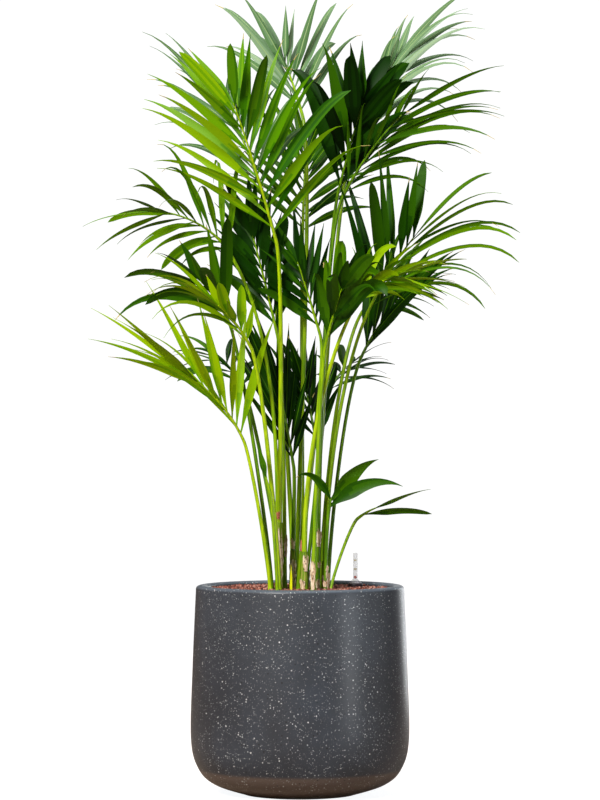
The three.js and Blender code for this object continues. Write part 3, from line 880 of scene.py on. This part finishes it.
def stem_rings(place, height):
    rings = []
    steps = round(height / STEM_RING_SPACING)
    for step in range(steps + 1):
        share = step / steps
        scar = SCAR_DEPTH * (share * height % SCAR_SPACING) / SCAR_SPACING
        girth = mix(*STEM_RADII, share) - scar
        radii = [girth - RIDGE * (column % 2) for column in range(STEM_COLUMNS)]
        rings.append(upright_ring(*place, surface + GAP + share * height, radii))
    return rings


stems = Growth()
for place, height in STEMS.values():
    stems.sleeve(stem_rings(place, height), plain(0))
fibre = Finish("stem_fibre", linear(150, 130, 80), 0.8)
fibre_streaks = fibre.noise(500.0, 3.0, stretch=20)
fibre_stops = [(0.3, linear(74, 118, 0)), (0.55, linear(128, 160, 0)), (0.72, linear(172, 156, 84))]
fibre.feed(fibre.shader, {"Base Color": fibre.ramp(fibre_streaks, *fibre_stops)})
fibre.bump(fibre_streaks, 0.4 * MM)
stem_piece = stems.piece("sheathed_stems", [fibre], 50)
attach(stem_piece, "root")
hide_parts(*STEMS)

# %% [markdown]
# ## Torn sheaths
#
# The old leaves' sheaths stay on the stems and on the feet of the stalks as brown paper, split open, torn
# at the top and pulled narrow towards the foot. Cloth could be torn in a simulation, but the scraps are
# stiff and small, so each is modelled as it lies: a thin shell round part of a limb, whose rings go out
# along the outside and back along the inside and end at a ragged height. Two scraps are close-fitting red
# scars.

# %% The table of scraps
SCRAPS = [
    # limb, from and to in mm above its foot, the way it faces, how far it reaches round, its flare, its tone
    ("stem_left", 2, 107, -92, 120, 0.8, 0),
    ("front_tall", 5, 19, -112, 76, 0.1, 1),
    ("inner_left", 52, 90, -70, 80, 0.5, 0),
    ("inner_right", 62, 82, -100, 76, 0.4, 1),
    ("stem_middle", 0, 49, -88, 96, 0.8, 0),
    ("centre_low_left", 2, 22, -95, 100, 1.0, 0),
    ("stem_front", 31, 61, -70, 84, 1.4, 0),
    ("stem_front", 0, 21, -116, 72, 2.0, 0),
    ("stem_right", 1, 56, -84, 150, 1.0, 0),
    ("centre_right", 2, 52, -104, 120, 1.2, 0),
    ("right_sweep", 70, 101, -76, 116, 1.7, 0),
    ("right_sweep", 36, 48, -60, 76, 0.8, 0),
    ("right_sweep", 0, 19, -84, 84, 1.2, 0),
    ("seedling_fork", 20, 42, -40, 100, 0.8, 0),
    ("seedling_fork", 6, 20, -95, 110, 1.8, 0),
    ("stem_edge", 0, 30, -70, 120, 1.2, 0),
    ("left_wide", 2, 30, 150, 120, 0.9, 0),
    ("top_back", 2, 60, 90, 130, 1.0, 0),
    ("rear_high", 2, 44, 110, 140, 1.2, 0),
    ("upper_right_back", 1, 70, 60, 120, 0.8, 0),
    ("centre_low_right", 2, 34, 20, 130, 1.0, 0),
    ("right_arch", 2, 52, 50, 130, 0.9, 0),
    ("upper_left_back", 1, 46, 120, 140, 1.3, 0),
    ("rear_left_low", 1, 26, 100, 150, 1.4, 0),
]
print("scraps of sheath:", len(SCRAPS))


# %% The rings of one scrap
SCRAP_COLUMNS = 11
SCRAP_RINGS = 12
PAPER = 0.3
LOOSENESS = 0.5
TEAR_DEPTH = 0.42
ROUNDED_TOP = 0.5
RAGGEDNESS = 0.12
CREASE = 0.35
HALVINGS = 12


def limb_at(limb, height):
    """The centre and radius of a stem or petiole at a height above its foot."""
    if limb in STEMS:
        (x, y), top = STEMS[limb]
        return Vector((x, y, surface + GAP + height)), mix(*STEM_RADII, height / top)
    habit = FRONDS[limb]
    goal = foot_point(habit).z + height
    low, high = 0, 1
    for _ in range(HALVINGS):
        share = (low + high) / 2
        if petiole_point(habit, share).z < goal:
            low = share
        else:
            high = share
    return petiole_point(habit, share), mix(habit["petiole"], COLLAR_RADIUS, share) * (1 + FOOT_FLARE / 3)


def scrap_rings(limb, low, high, facing, reach, flare, draw):
    """The shell of one scrap. Its top is torn by the draws, and its corners hang lower than its middle."""
    places = [column / (SCRAP_COLUMNS - 1) - 0.5 for column in range(SCRAP_COLUMNS)]
    tear = [TEAR_DEPTH * next(draw) ** 1.5 + ROUNDED_TOP * place**2 for place in places]
    wander = 10 * next(draw)
    rings = []
    for step in range(SCRAP_RINGS + 1):
        share = step / SCRAP_RINGS
        outside, inside = [], []
        for column in range(SCRAP_COLUMNS):
            height = mix(low, high - (high - low) * tear[column], share)
            centre, radius = limb_at(limb, height)
            ragged = RAGGEDNESS * math.sin(17 * share + wander + 3 * places[column])
            spread = reach * (0.6 + 0.4 * share + ragged) * places[column]
            angle = math.radians(facing + spread)
            crease = CREASE * math.sin(5 * share + 2.3 * column + wander)
            off = radius + LOOSENESS + flare * share**3 + crease * share
            outward = Vector((math.cos(angle), math.sin(angle), 0))
            outside.append(centre + outward * (off + PAPER))
            inside.append(centre + outward * off)
        rings.append(np.array(outside + inside[::-1]))
    return rings


print("points round a scrap:", 2 * SCRAP_COLUMNS)


# %% [markdown]
# Close up, the paper is a mat of fibres with small dark holes and specks. Drawn-out noise makes the
# fibres, as on the stalks, and a second noise, cut off high, leaves only its peaks as specks.


# %% Tear and finish the sheaths
def seeded(seed):
    """Random numbers that are the same each time."""
    state = seed
    while True:
        state = state * 48271 % 2147483647
        yield state / 2147483647


def sheath_finish(name, dark, middle, pale):
    """Streaky paper, with small dark specks in it."""
    finish = Finish(name, linear(*middle), 0.75, Specular_IOR_Level=0.3)
    fibres = finish.noise(600.0, 3.0, stretch=10)
    tone = finish.ramp(fibres, (0.32, linear(*dark)), (0.46, linear(*middle)), (0.62, linear(*pale)))
    specks = finish.ramp(finish.noise(430.0, 3.0, stretch=2), (0.6, (0, 0, 0)), (0.66, (1, 1, 1)))
    finish.feed(finish.shader, {"Base Color": finish.mixed(specks, tone, linear(84, 40, 22))})
    finish.bump(fibres, 0.3 * MM)
    return finish


scraps = Growth()
tearing = seeded(613)
for *scrap, tone in SCRAPS:
    scraps.sleeve(scrap_rings(*scrap, tearing), plain(tone), thin=True)
scrap_finishes = [
    sheath_finish("sheath_paper", (150, 108, 74), (220, 188, 150), (250, 234, 210)),
    sheath_finish("sheath_scar", (120, 54, 36), (186, 106, 80), (214, 140, 108)),
]
scrap_piece = scraps.piece("torn_sheaths", scrap_finishes, 40)
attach(scrap_piece, "root")

# %% [markdown]
# ## The young shoot
#
# One shoot has no leaf yet. It is a leaf still rolled up: a slim yellow spear with a seam that winds
# slowly round it. A twisted sheet would be closer to life, but it is only 4 cm high. So it is modelled as
# rings that shrink towards the tip, each with a notch at the seam.

# %% Grow the shoot
SHOOT_SIDES = 14
SHOOT_STEPS = 14
SEAM_START = 4
SEAM_TURN = 1.6
SEAM_DEPTH = 0.35
SHOOT_TIP = 0.06
SHOOT_GIRTH = 0.8
shoot_low, shoot_high = (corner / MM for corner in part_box("shoot"))
shoot_middle = (shoot_low + shoot_high) / 2
shoot_radius = (shoot_high.x - shoot_low.x) / 2 * SHOOT_GIRTH
shoot_rings = []
for step in range(SHOOT_STEPS + 1):
    share = step / SHOOT_STEPS
    radii = []
    for corner in range(SHOOT_SIDES):
        angle = 2 * math.pi * corner / SHOOT_SIDES
        seam = SEAM_DEPTH * max(0, math.cos(angle - SEAM_START - SEAM_TURN * share)) ** 8
        radii.append(shoot_radius * max((1 - share**1.7) ** 0.8, SHOOT_TIP) * (1 - seam))
    shoot_rings.append(upright_ring(*shoot_middle.xy, mix(shoot_low.z, shoot_high.z, share), radii))
shoot_growth = Growth()
shoot_growth.sleeve(shoot_rings, plain(0))
shoot_yellow = stalk_finish("shoot_yellow", (236, 240, 10), (206, 216, 0))
shoot_piece = shoot_growth.piece("young_shoot", [shoot_yellow], 80)
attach(shoot_piece, "root")
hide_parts("shoot")

# %% [markdown]
# ## The water gauge
#
# The gauge shows how much water stands in the planter. On the real one a red float rides inside a clear
# tube with two yellow marks, and the tube stands on a flared clear dome that sits in a dark cap. All are
# turned like the planter. The dome is one wall: its profile starts inside, under the crown, runs down to
# the foot and up again outside. The tube is a plain clear rod, with the float and the marks turned inside
# it. A hollow tube would show the same outline, and its inner wall is too fine to see.

# %% Turn the gauge
PLASTIC_WALL = 0.7
foot_low, foot_high = (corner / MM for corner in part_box("gauge_foot"))
tube_low, tube_high = (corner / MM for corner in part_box("gauge_tube"))
gauge_x, gauge_y = ((foot_low + foot_high) / 2).xy
dome_radius = (foot_high.x - foot_low.x) / 2
pipe_radius = (tube_high.x - tube_low.x) / 2
dome_height = foot_high.z - foot_low.z


def turn_mm(name, rings, sides):
    """A turned piece on the gauge's axis, from (radius, height) pairs in millimetres."""
    return turn(name, [(r * MM, z * MM) for r, z in rings], sides, (gauge_x * MM, gauge_y * MM))


def bell(inset):
    """The dome's flared profile from its foot up, moved in by a wall's thickness."""
    curve = smooth_through([(1.0, 0.02), (0.98, 0.25), (0.8, 0.55), (0.52, 0.8), (0.4, 1.0)], 5)
    heights = [max(foot_low.z + z * dome_height - inset / 2, foot_low.z) for _, z in curve]
    return [(r * dome_radius - inset, height) for (r, _), height in zip(curve, heights)]


print("the dome stands from", round(foot_low.z, 1), "to", round(foot_high.z, 1), "mm")
print("its radius is", round(dome_radius, 1), "and the tube's", round(pipe_radius, 1))
cap_profile = [(0.99, 0.1), (1.01, 1), (1.0, 3.6), (0.93, 5.6), (0.7, 6.6), (0.3, 6.8)]
cap_profile = [(share * dome_radius, foot_low.z + rise) for share, rise in cap_profile]
dome_profile = bell(PLASTIC_WALL)[::-1] + bell(0)
pipe_profile = [(0.4, tube_low.z), (pipe_radius - 0.2, tube_low.z), (pipe_radius, tube_low.z + 0.3)]
pipe_profile += [(pipe_radius, tube_high.z - 1.4), (pipe_radius - 0.8, tube_high.z - 0.2), (0.4, tube_high.z)]
float_profile = [(0.5, tube_low.z - 0.2), (2.1, tube_low.z + 0.4), (2.5, tube_low.z + 2.2)]
float_profile += [(2.1, tube_low.z + 3.8), (0.5, tube_low.z + 4.6), (0.4, tube_low.z + 5)]
gauge_pieces = {
    "gauge_cap": turn_mm("gauge_cap", cap_profile, 40),
    "gauge_dome": turn_mm("gauge_dome", dome_profile, 48),
    "gauge_pipe": turn_mm("gauge_pipe", pipe_profile, 32),
    "gauge_float": turn_mm("gauge_float", float_profile, 24),
}
MARK_HEIGHTS = (0.37, 0.71)
for number, share in enumerate(MARK_HEIGHTS, 1):
    middle = mix(tube_low.z, tube_high.z, share)
    mark_profile = [(0.4, middle - 1.1), (2.2, middle - 1.0), (2.2, middle + 1.0), (0.4, middle + 1.1)]
    gauge_pieces[f"gauge_mark_{number}"] = turn_mm(f"gauge_mark_{number}", mark_profile, 24)


# %% [markdown]
# Every piece is moulded plastic, a little uneven. Clear plastic could bend the light as glass does, but at
# this size a low alpha looks the same and renders quicker, so one finish with a tone and a cover does.


# %% Finish the gauge
def moulded(name, tone, roughness, cover=1.0):
    """A moulded plastic with a fine uneven skin. A low cover lets the background show through."""
    finish = Finish(name, linear(*tone), roughness, Alpha=cover)
    skin = finish.noise(900.0, 2.0)
    darker = [channel * 0.85 for channel in linear(*tone)]
    finish.feed(finish.shader, {"Base Color": finish.mixed(skin, darker, linear(*tone))})
    finish.bump(skin, 0.03 * MM)
    return finish


gauge_finishes = {
    "gauge_cap": moulded("gauge_dark_cap", (52, 34, 46), 0.35),
    "gauge_dome": moulded("clear_dome", (250, 246, 255), 0.12, 0.22),
    "gauge_pipe": moulded("clear_pipe", (246, 244, 252), 0.2, 0.32),
    "gauge_float": moulded("gauge_red_float", (255, 84, 30), 0.4),
    "gauge_mark_1": moulded("gauge_yellow_mark", (255, 226, 84), 0.45),
}
gauge_finishes["gauge_mark_2"] = gauge_finishes["gauge_mark_1"]
for name, piece in gauge_pieces.items():
    piece.data.materials.append(gauge_finishes[name].material)
    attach(piece, "root")
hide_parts("gauge_foot")
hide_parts("gauge_tube")
print("pieces of the gauge:", len(gauge_pieces))

# %% [markdown]
# ## The loose grains
#
# Fired clay granules of 4 to 5 mm lie loose on top. A simulation could pour them, but thousands of
# falling grains take long, and they would settle otherwise on the next computer. So one icosphere is
# modelled in six lumpy versions, and copies of them are laid on a honeycomb, each shifted, turned and
# sized by a seeded generator. They are joined into one mesh from arrays, which is far quicker than
# copying objects. The bed rises and falls a little, dips in front of the gauge, and leaves room for
# whatever grows out of it.

# %% Model the grains
GRAIN = 4.9 * MM
GRAIN_SHAPES = 6
LUMPINESS = 0.09


def model_grain(number):
    """One lumpy grain, as its points and faces."""
    deselect_all()
    bpy.ops.mesh.primitive_ico_sphere_add(subdivisions=1, radius=GRAIN / 2)
    grain = bpy.context.object
    bpy.ops.object.mode_set(mode="EDIT")
    bpy.ops.transform.vertex_random(offset=GRAIN * LUMPINESS, seed=number)
    bpy.ops.object.mode_set(mode="OBJECT")
    points = np.array([vertex.co for vertex in grain.data.vertices])
    faces = np.array([polygon.vertices for polygon in grain.data.polygons])
    bpy.data.objects.remove(grain)
    return points, faces


grain_kinds = [model_grain(number + 1) for number in range(GRAIN_SHAPES)]
print("faces of a grain:", len(grain_kinds[0][1]))

# %% Lay the loose grains
GRAIN_SIZES = (0.78, 1.02)
ROW_SPACING = 0.86
SPARE_COLUMNS = 4
SHIFT = 0.16
ELBOW_ROOM = 0.35
BED_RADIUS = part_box("clay_granules")[1].x - 1 * MM
BED_HEIGHTS = (-0.4, 2.4)
HEAP = 0.8
GAUGE_DIP = 2.4 * MM
DIP_REACH = 30 * MM
TONE_SHARES = (0.3, 0.42, 0.28)
dip_place = (gauge_x * MM, (gauge_y - 20) * MM)
scatter = np.random.default_rng(29)


def random_turn():
    """A rotation matrix from a random quaternion."""
    w, x, y, z = scatter.normal(size=4)
    return np.array(Quaternion((w, x, y, z)).normalized().to_matrix())


def is_taken(x, y):
    return any((x - a) ** 2 + (y - b) ** 2 < (radius + GRAIN * ELBOW_ROOM) ** 2 for a, b, radius in taken)


taken = [(gauge_x * MM, gauge_y * MM, dome_radius * MM), (*(shoot_middle.xy * MM), shoot_radius * MM)]
taken += [(x * MM, y * MM, STEM_RADII[0] * MM) for (x, y), _ in STEMS.values()]
for habit in FRONDS.values():
    if not isinstance(habit["foot"], str):
        x, y = habit["foot"]
        taken.append((x * MM, y * MM, habit["petiole"] * (1 + FOOT_FLARE) * MM))

grain_points, grain_faces = [], []
rows = int(BED_RADIUS / (GRAIN * ROW_SPACING)) + 1
columns = rows + SPARE_COLUMNS
for row in range(-rows, rows + 1):
    for column in range(-columns, columns + 1):
        x = (column + row % 2 / 2) * GRAIN + scatter.normal() * GRAIN * SHIFT
        y = row * GRAIN * ROW_SPACING + scatter.normal() * GRAIN * SHIFT
        if math.hypot(x, y) > BED_RADIUS - GRAIN / 2 or is_taken(x, y):
            continue
        heap = math.sin(x * 61 + 2) * math.sin(y * 73) * HEAP * MM
        dip = GAUGE_DIP * math.exp(-math.dist((x, y), dip_place) / DIP_REACH)
        z = clay_top + scatter.uniform(*BED_HEIGHTS) * MM + heap - dip
        points, faces = grain_kinds[scatter.integers(GRAIN_SHAPES)]
        grain_faces.append(faces + len(grain_points) * len(points))
        grain_points.append(points @ random_turn() * scatter.uniform(*GRAIN_SIZES) + (x, y, z))
grain_mesh = bpy.data.meshes.new("loose_grains")
grain_mesh.from_pydata(np.concatenate(grain_points), [], np.concatenate(grain_faces).tolist())
for finish in clay_finishes:
    grain_mesh.materials.append(finish.material)
grain_tones = scatter.choice(len(clay_finishes), size=len(grain_points), p=TONE_SHARES)
grain_mesh.polygons.foreach_set("material_index", np.repeat(grain_tones, len(grain_kinds[0][1])))
loose_grains = add_smooth("loose_grains", grain_mesh, 70)
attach(loose_grains, "root")
print("loose grains:", len(grain_points))

# %% [markdown]
# ## Leaflets
#
# A kentia leaflet is a long blade, folded like a low roof along its midrib, and each half bulges a
# little. It leaves the rachis from a narrow root, is widest two fifths of the way out, and is drawn out
# to a thin tip that gravity bends down. Cards with a picture of a leaf would be quicker, but they look
# flat from the side. So each blade is swept along a path of its own, which comes from the CAD model's
# rule, and rolls a little on the way.

# %% The path of one leaflet
SPINE_STEPS = 14
ALTERNATE_LIFTS = (3, 22, -16)
MOST_ROLL = 34
OPPOSITE_SHIFT = 0.25
OPENING_SPREAD = 8


def leaflet_path(habit, sign, half, index, count, chance, extra_lift):
    """Points along the midrib, each with the directions of the blade's width and of its upper side."""
    share = (index + 0.6 + (0 if sign > 0 else OPPOSITE_SHIFT)) / count
    along = min(mix(0.02, 1, share), 0.98)
    collar, bend, tip = rachis_points(habit)
    tangent = ((bend - collar).lerp(tip - bend, along)).normalized()
    turn = math.radians(habit["face"])
    plan = Vector((math.cos(turn), math.sin(turn), 0))
    across = (plan - tangent * plan.dot(tangent)).normalized()
    face = tangent.cross(across)
    if face.z < 0:
        face.negate()
    first, middle, end = half["reach"]
    reach = mix(first, middle, along * 2) if along < 0.5 else mix(middle, end, along * 2 - 1)
    length = reach * (0.94 + 0.12 * chance["reach"])
    opening = math.radians(mix(*half["open"], along) + OPENING_SPREAD * (chance["open"] - 0.5))
    lift = math.radians(ALTERNATE_LIFTS[index % 3] + extra_lift)
    start = tangent * math.cos(opening) + across * (sign * math.sin(opening))
    start = start * math.cos(lift) + face * math.sin(lift)
    limp = (1.3 - 0.9 * along) * half["sag"]
    droop = limp * habit["droop"] * (0.8 + 0.4 * chance["droop"])
    hook = limp * habit["hook"]
    at = bezier([collar, bend, tip], along)
    path = []
    for step in range(SPINE_STEPS + 1):
        share = step / SPINE_STEPS
        heading = (start - UP * (droop * share**1.5 + hook * share**5)).normalized()
        flat = heading.cross(face).normalized()
        roll = math.radians(MOST_ROLL * (chance["roll"] - 0.5) * (1 + share))
        width = flat * math.cos(roll) + flat.cross(heading) * math.sin(roll)
        path.append((at.copy(), width, width.cross(heading)))
        at += heading * (length / SPINE_STEPS)
    return path


print("points along a leaflet:", SPINE_STEPS + 1)


# %% The blade around its path
THICKNESS = 0.5
ROOT_WIDTH = 0.14
WIDEST = 0.4
SLENDER = (1.4, 2.3)
SLENDER_END = 1.15
BLUNT = 6
BLUNT_END = 0.6
NARROWEST = 0.25
UNFOLDING = 0.6
SECTION = [
    # place across the blade, height of the bulge there, upper side or underside
    (-1, 0, 1), (-0.55, 0.09, 1), (-0.09, 0.04, 1), (0.09, 0.04, 1), (0.55, 0.09, 1), (1, 0, 1),
    (0.5, 0.05, -1), (0, -0.05, -1), (-0.5, 0.05, -1),
]


def blade_width(share, drawn):
    """The blade's width at a share of its length, 1 at its widest. A low drawn gives a long thin tip."""
    grown = min(share / WIDEST, 1)
    root = ROOT_WIDTH + (1 - ROOT_WIDTH) * grown * grown * (3 - 2 * grown)
    return root * (1 - share**drawn) ** (BLUNT_END if drawn == BLUNT else SLENDER_END)


def blade_rings(path, half_width, fold, drawn):
    """The section at each point of the path, as wide and as steeply folded as the blade is there."""
    rings = []
    for step, (at, across, up) in enumerate(path):
        share = step / SPINE_STEPS
        half = max(half_width * blade_width(share, drawn), NARROWEST)
        roof = fold * (1 - UNFOLDING * share)
        ring = []
        for place, bulge, face in SECTION:
            height = (bulge - roof * abs(place)) * half + face * THICKNESS / 2
            ring.append(at + across * (place * half) + up * height)
        rings.append(np.array(ring))
    return rings


print("widths of a slender blade:", [round(blade_width(share / 4, SLENDER[1]), 2) for share in range(5)])


# %% [markdown]
# The fronds are grown one after the other. A leaflet that would touch another limb or frond is lifted a
# little more or less, step by step, as real ones part, and the first clear place is taken. Testing the
# fine meshes would be slow and no better, so a box and a slim tube stand in for each blade.

# %% Find room for a blade
LIFTS = (0, 8, -8, 16, -16, 24, -24, 32, -32, 42, -42)
CLEARANCE = 1.2
NARROWEST_TUBE = 0.8
OVERREACH = 5
BOX_LOW, BOX_HIGH = np.array(cad_low) / MM, np.array(cad_high) / MM
WHOLE_FROM = 1
FREE_FROM = 3


def box_of(points):
    spots = np.array(points)
    return spots.min(0), spots.max(0)


def coarse_blade(path, half_width, first):
    """The blade's box and a slim four-sided tube in its place, to test what comes too near."""
    points = []
    for step in [*range(first, SPINE_STEPS, 2), SPINE_STEPS]:
        at, across, up = path[step]
        half = max(half_width * blade_width(step / SPINE_STEPS, SLENDER[1]), NARROWEST_TUBE)
        points += [at - across * half, at + up * CLEARANCE, at + across * half, at - up * CLEARANCE]
    return box_of(points), tube_tree(points, 4)


def touches(candidate, others):
    (low, high), tree = candidate
    for (other_low, other_high), other in others:
        near = np.all(low <= other_high) and np.all(high >= other_low)
        if near and tree.overlap(other):
            return True
    return False


def leaves_box(candidate):
    """Whether a blade would reach past the CAD model's own box."""
    (low, high), _ = candidate
    return bool(np.any(low < BOX_LOW - OVERREACH) or np.any(high > BOX_HIGH + OVERREACH))


def find_room(habit, sign, half, index, count, chance, half_width, others, own):
    """Tries the lifts in turn. The first blade clear of all wins, else the first that is clear of the
    other fronds. Blades of one frond meet near the rachis, so among those only the free part counts."""
    close = None
    for lift in LIFTS:
        path = leaflet_path(habit, sign, half, index, count, chance, lift)
        whole = coarse_blade(path, half_width, WHOLE_FROM)
        if leaves_box(whole) or touches(whole, others):
            continue
        free = coarse_blade(path, half_width, FREE_FROM)
        if not touches(free, own):
            return path, whole, free, "clear"
        close = close or (path, whole, free, "close")
    return close


placed = []
for name, tree in limb_trees.items():
    centres = [centre for centre, _ in limb_centres(FRONDS[name])]
    placed.append((name, (box_of(centres), tree)))
print("limbs to keep clear of:", len(placed))

# %% [markdown]
# No two leaflets are the same green. A picture of a leaf could give each its stripes, but from here a
# stripe is only a pixel or two wide. So a face gets one of eight plain finishes instead. Every blade has
# a tint of its own, round the painted shade of its half of the frond. It is deeper near the root, a few
# pleats are deeper all along, the midrib is paler, and a slender blade may end in a dry tip.

# %% The tints of a blade
GREENS = {
    "bright": [(152, 190, 0), (132, 174, 0), (106, 156, 0), (80, 136, 0), (56, 112, 0), (36, 90, 0)],
    "mid": [(98, 146, 0), (78, 126, 0), (60, 108, 0), (44, 90, 0), (28, 72, 0), (16, 54, 0)],
    "dark": [(66, 112, 0), (48, 94, 0), (34, 78, 0), (22, 62, 0), (13, 48, 0), (7, 36, 0)],
    "grey": [(146, 172, 140), (128, 158, 120), (108, 142, 98), (90, 126, 78), (70, 108, 60), (52, 90, 44)],
}
RIBS = {"bright": (160, 196, 0), "mid": (104, 148, 0), "dark": (60, 106, 0), "grey": (150, 176, 116)}
DEEPEST = 5
RIB_COLUMN = 2
RIB_TINT = 6
DRY_TINT = 7
DRY_TONE = (186, 170, 104)
LONGEST_DRY = 1.7
DEEP_ROOT = 0.06
DEEP_SPREAD = 0.3
STREAK_SHARE = 0.28


def streaked(tint, slender, looks):
    """One blade's own tint, with every column of faces deeper near its root and a few deeper all along."""
    deep_rows = [SPINE_STEPS * (DEEP_ROOT + DEEP_SPREAD * next(looks)) for _ in SECTION]
    streaks = [next(looks) < STREAK_SHARE for _ in SECTION]
    dry_row = SPINE_STEPS - (LONGEST_DRY * next(looks) if slender else 0)

    def finish(row, column):
        if row >= dry_row:
            return DRY_TINT
        if column == RIB_COLUMN:
            return RIB_TINT
        return min(tint + (row < deep_rows[column]) + streaks[column], DEEPEST)

    return finish


print("greens:", list(GREENS))

# %% Grow the leaflets
LEAST_WIDTH = 0.9
WIDTH_SPREAD = 0.2
LEAST_FOLD = 0.25
FOLD_SPREAD = 0.3
TINT_SPREAD = 2.6
LEAF_SEED = 7919
growths = {green: Growth() for green in GREENS}
tally = {"clear": 0, "close": 0, "left out": 0}
for order, (name, habit) in enumerate(FRONDS.items()):
    draw = seeded(LEAF_SEED * (order + 1))
    looks = seeded(LEAF_SEED * (order + 101))
    others = [solid for owner, solid in placed if owner != name]
    own_whole, own_free = [], []
    for sign, half in ((-1, habit["left"]), (1, habit["right"])):
        count = round(half["count"] * habit["finer"])
        for index in range(count):
            chance = {"reach": next(draw), "open": next(draw), "droop": next(draw)}
            chance["roll"] = next(looks)
            half_width = habit["width"] * half["broad"] * habit["slim"] / 2
            half_width *= LEAST_WIDTH + WIDTH_SPREAD * next(looks)
            fold = LEAST_FOLD + FOLD_SPREAD * next(looks)
            drawn = BLUNT if next(looks) < habit["blunt"] else mix(*SLENDER, next(looks))
            # The tint is set round the half's painted shade: lighter in the light, deeper in shade.
            tint = round(habit["shade"][sign > 0] + TINT_SPREAD * (next(looks) - 0.5))
            finish = streaked(min(max(tint, 0), DEEPEST), drawn < BLUNT, looks)
            found = find_room(habit, sign, half, index, count, chance, half_width, others, own_free)
            if found is None:
                tally["left out"] += 1
                continue
            path, whole, free, state = found
            tally[state] += 1
            own_free.append(free)
            own_whole.append((name, whole))
            growths[habit["green"]].sleeve(blade_rings(path, half_width, fold, drawn), finish)
    placed += own_whole
print("leaflets:", tally)


# %% [markdown]
# A palm's leaflet is waxy, so it has a soft shine all over. The fronds fall into four greens: bright ones
# in the light, two deeper ones in the shade, and a greyish one at the top and back. Leaflets of one green
# become one mesh. One mesh per frond would do too, but these four are the kinds that one may recolour.


# %% Join the leaflets by green
def leaf_finish(name, tone, roughness):
    """A plain waxy green."""
    return Finish(name, linear(*tone), roughness, Specular_IOR_Level=0.09)


for green, growth in growths.items():
    finishes = [leaf_finish(f"leaf_{green}_{index}", tone, 0.42) for index, tone in enumerate(GREENS[green])]
    finishes.append(leaf_finish(f"leaf_{green}_rib", RIBS[green], 0.4))
    finishes.append(leaf_finish(f"leaf_{green}_dry", DRY_TONE, 0.6))
    leaves = growth.piece(f"leaflets_{green}", finishes)
    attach(leaves, "root")
    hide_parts(*[f"frond_{name}" for name, habit in FRONDS.items() if habit["green"] == green])
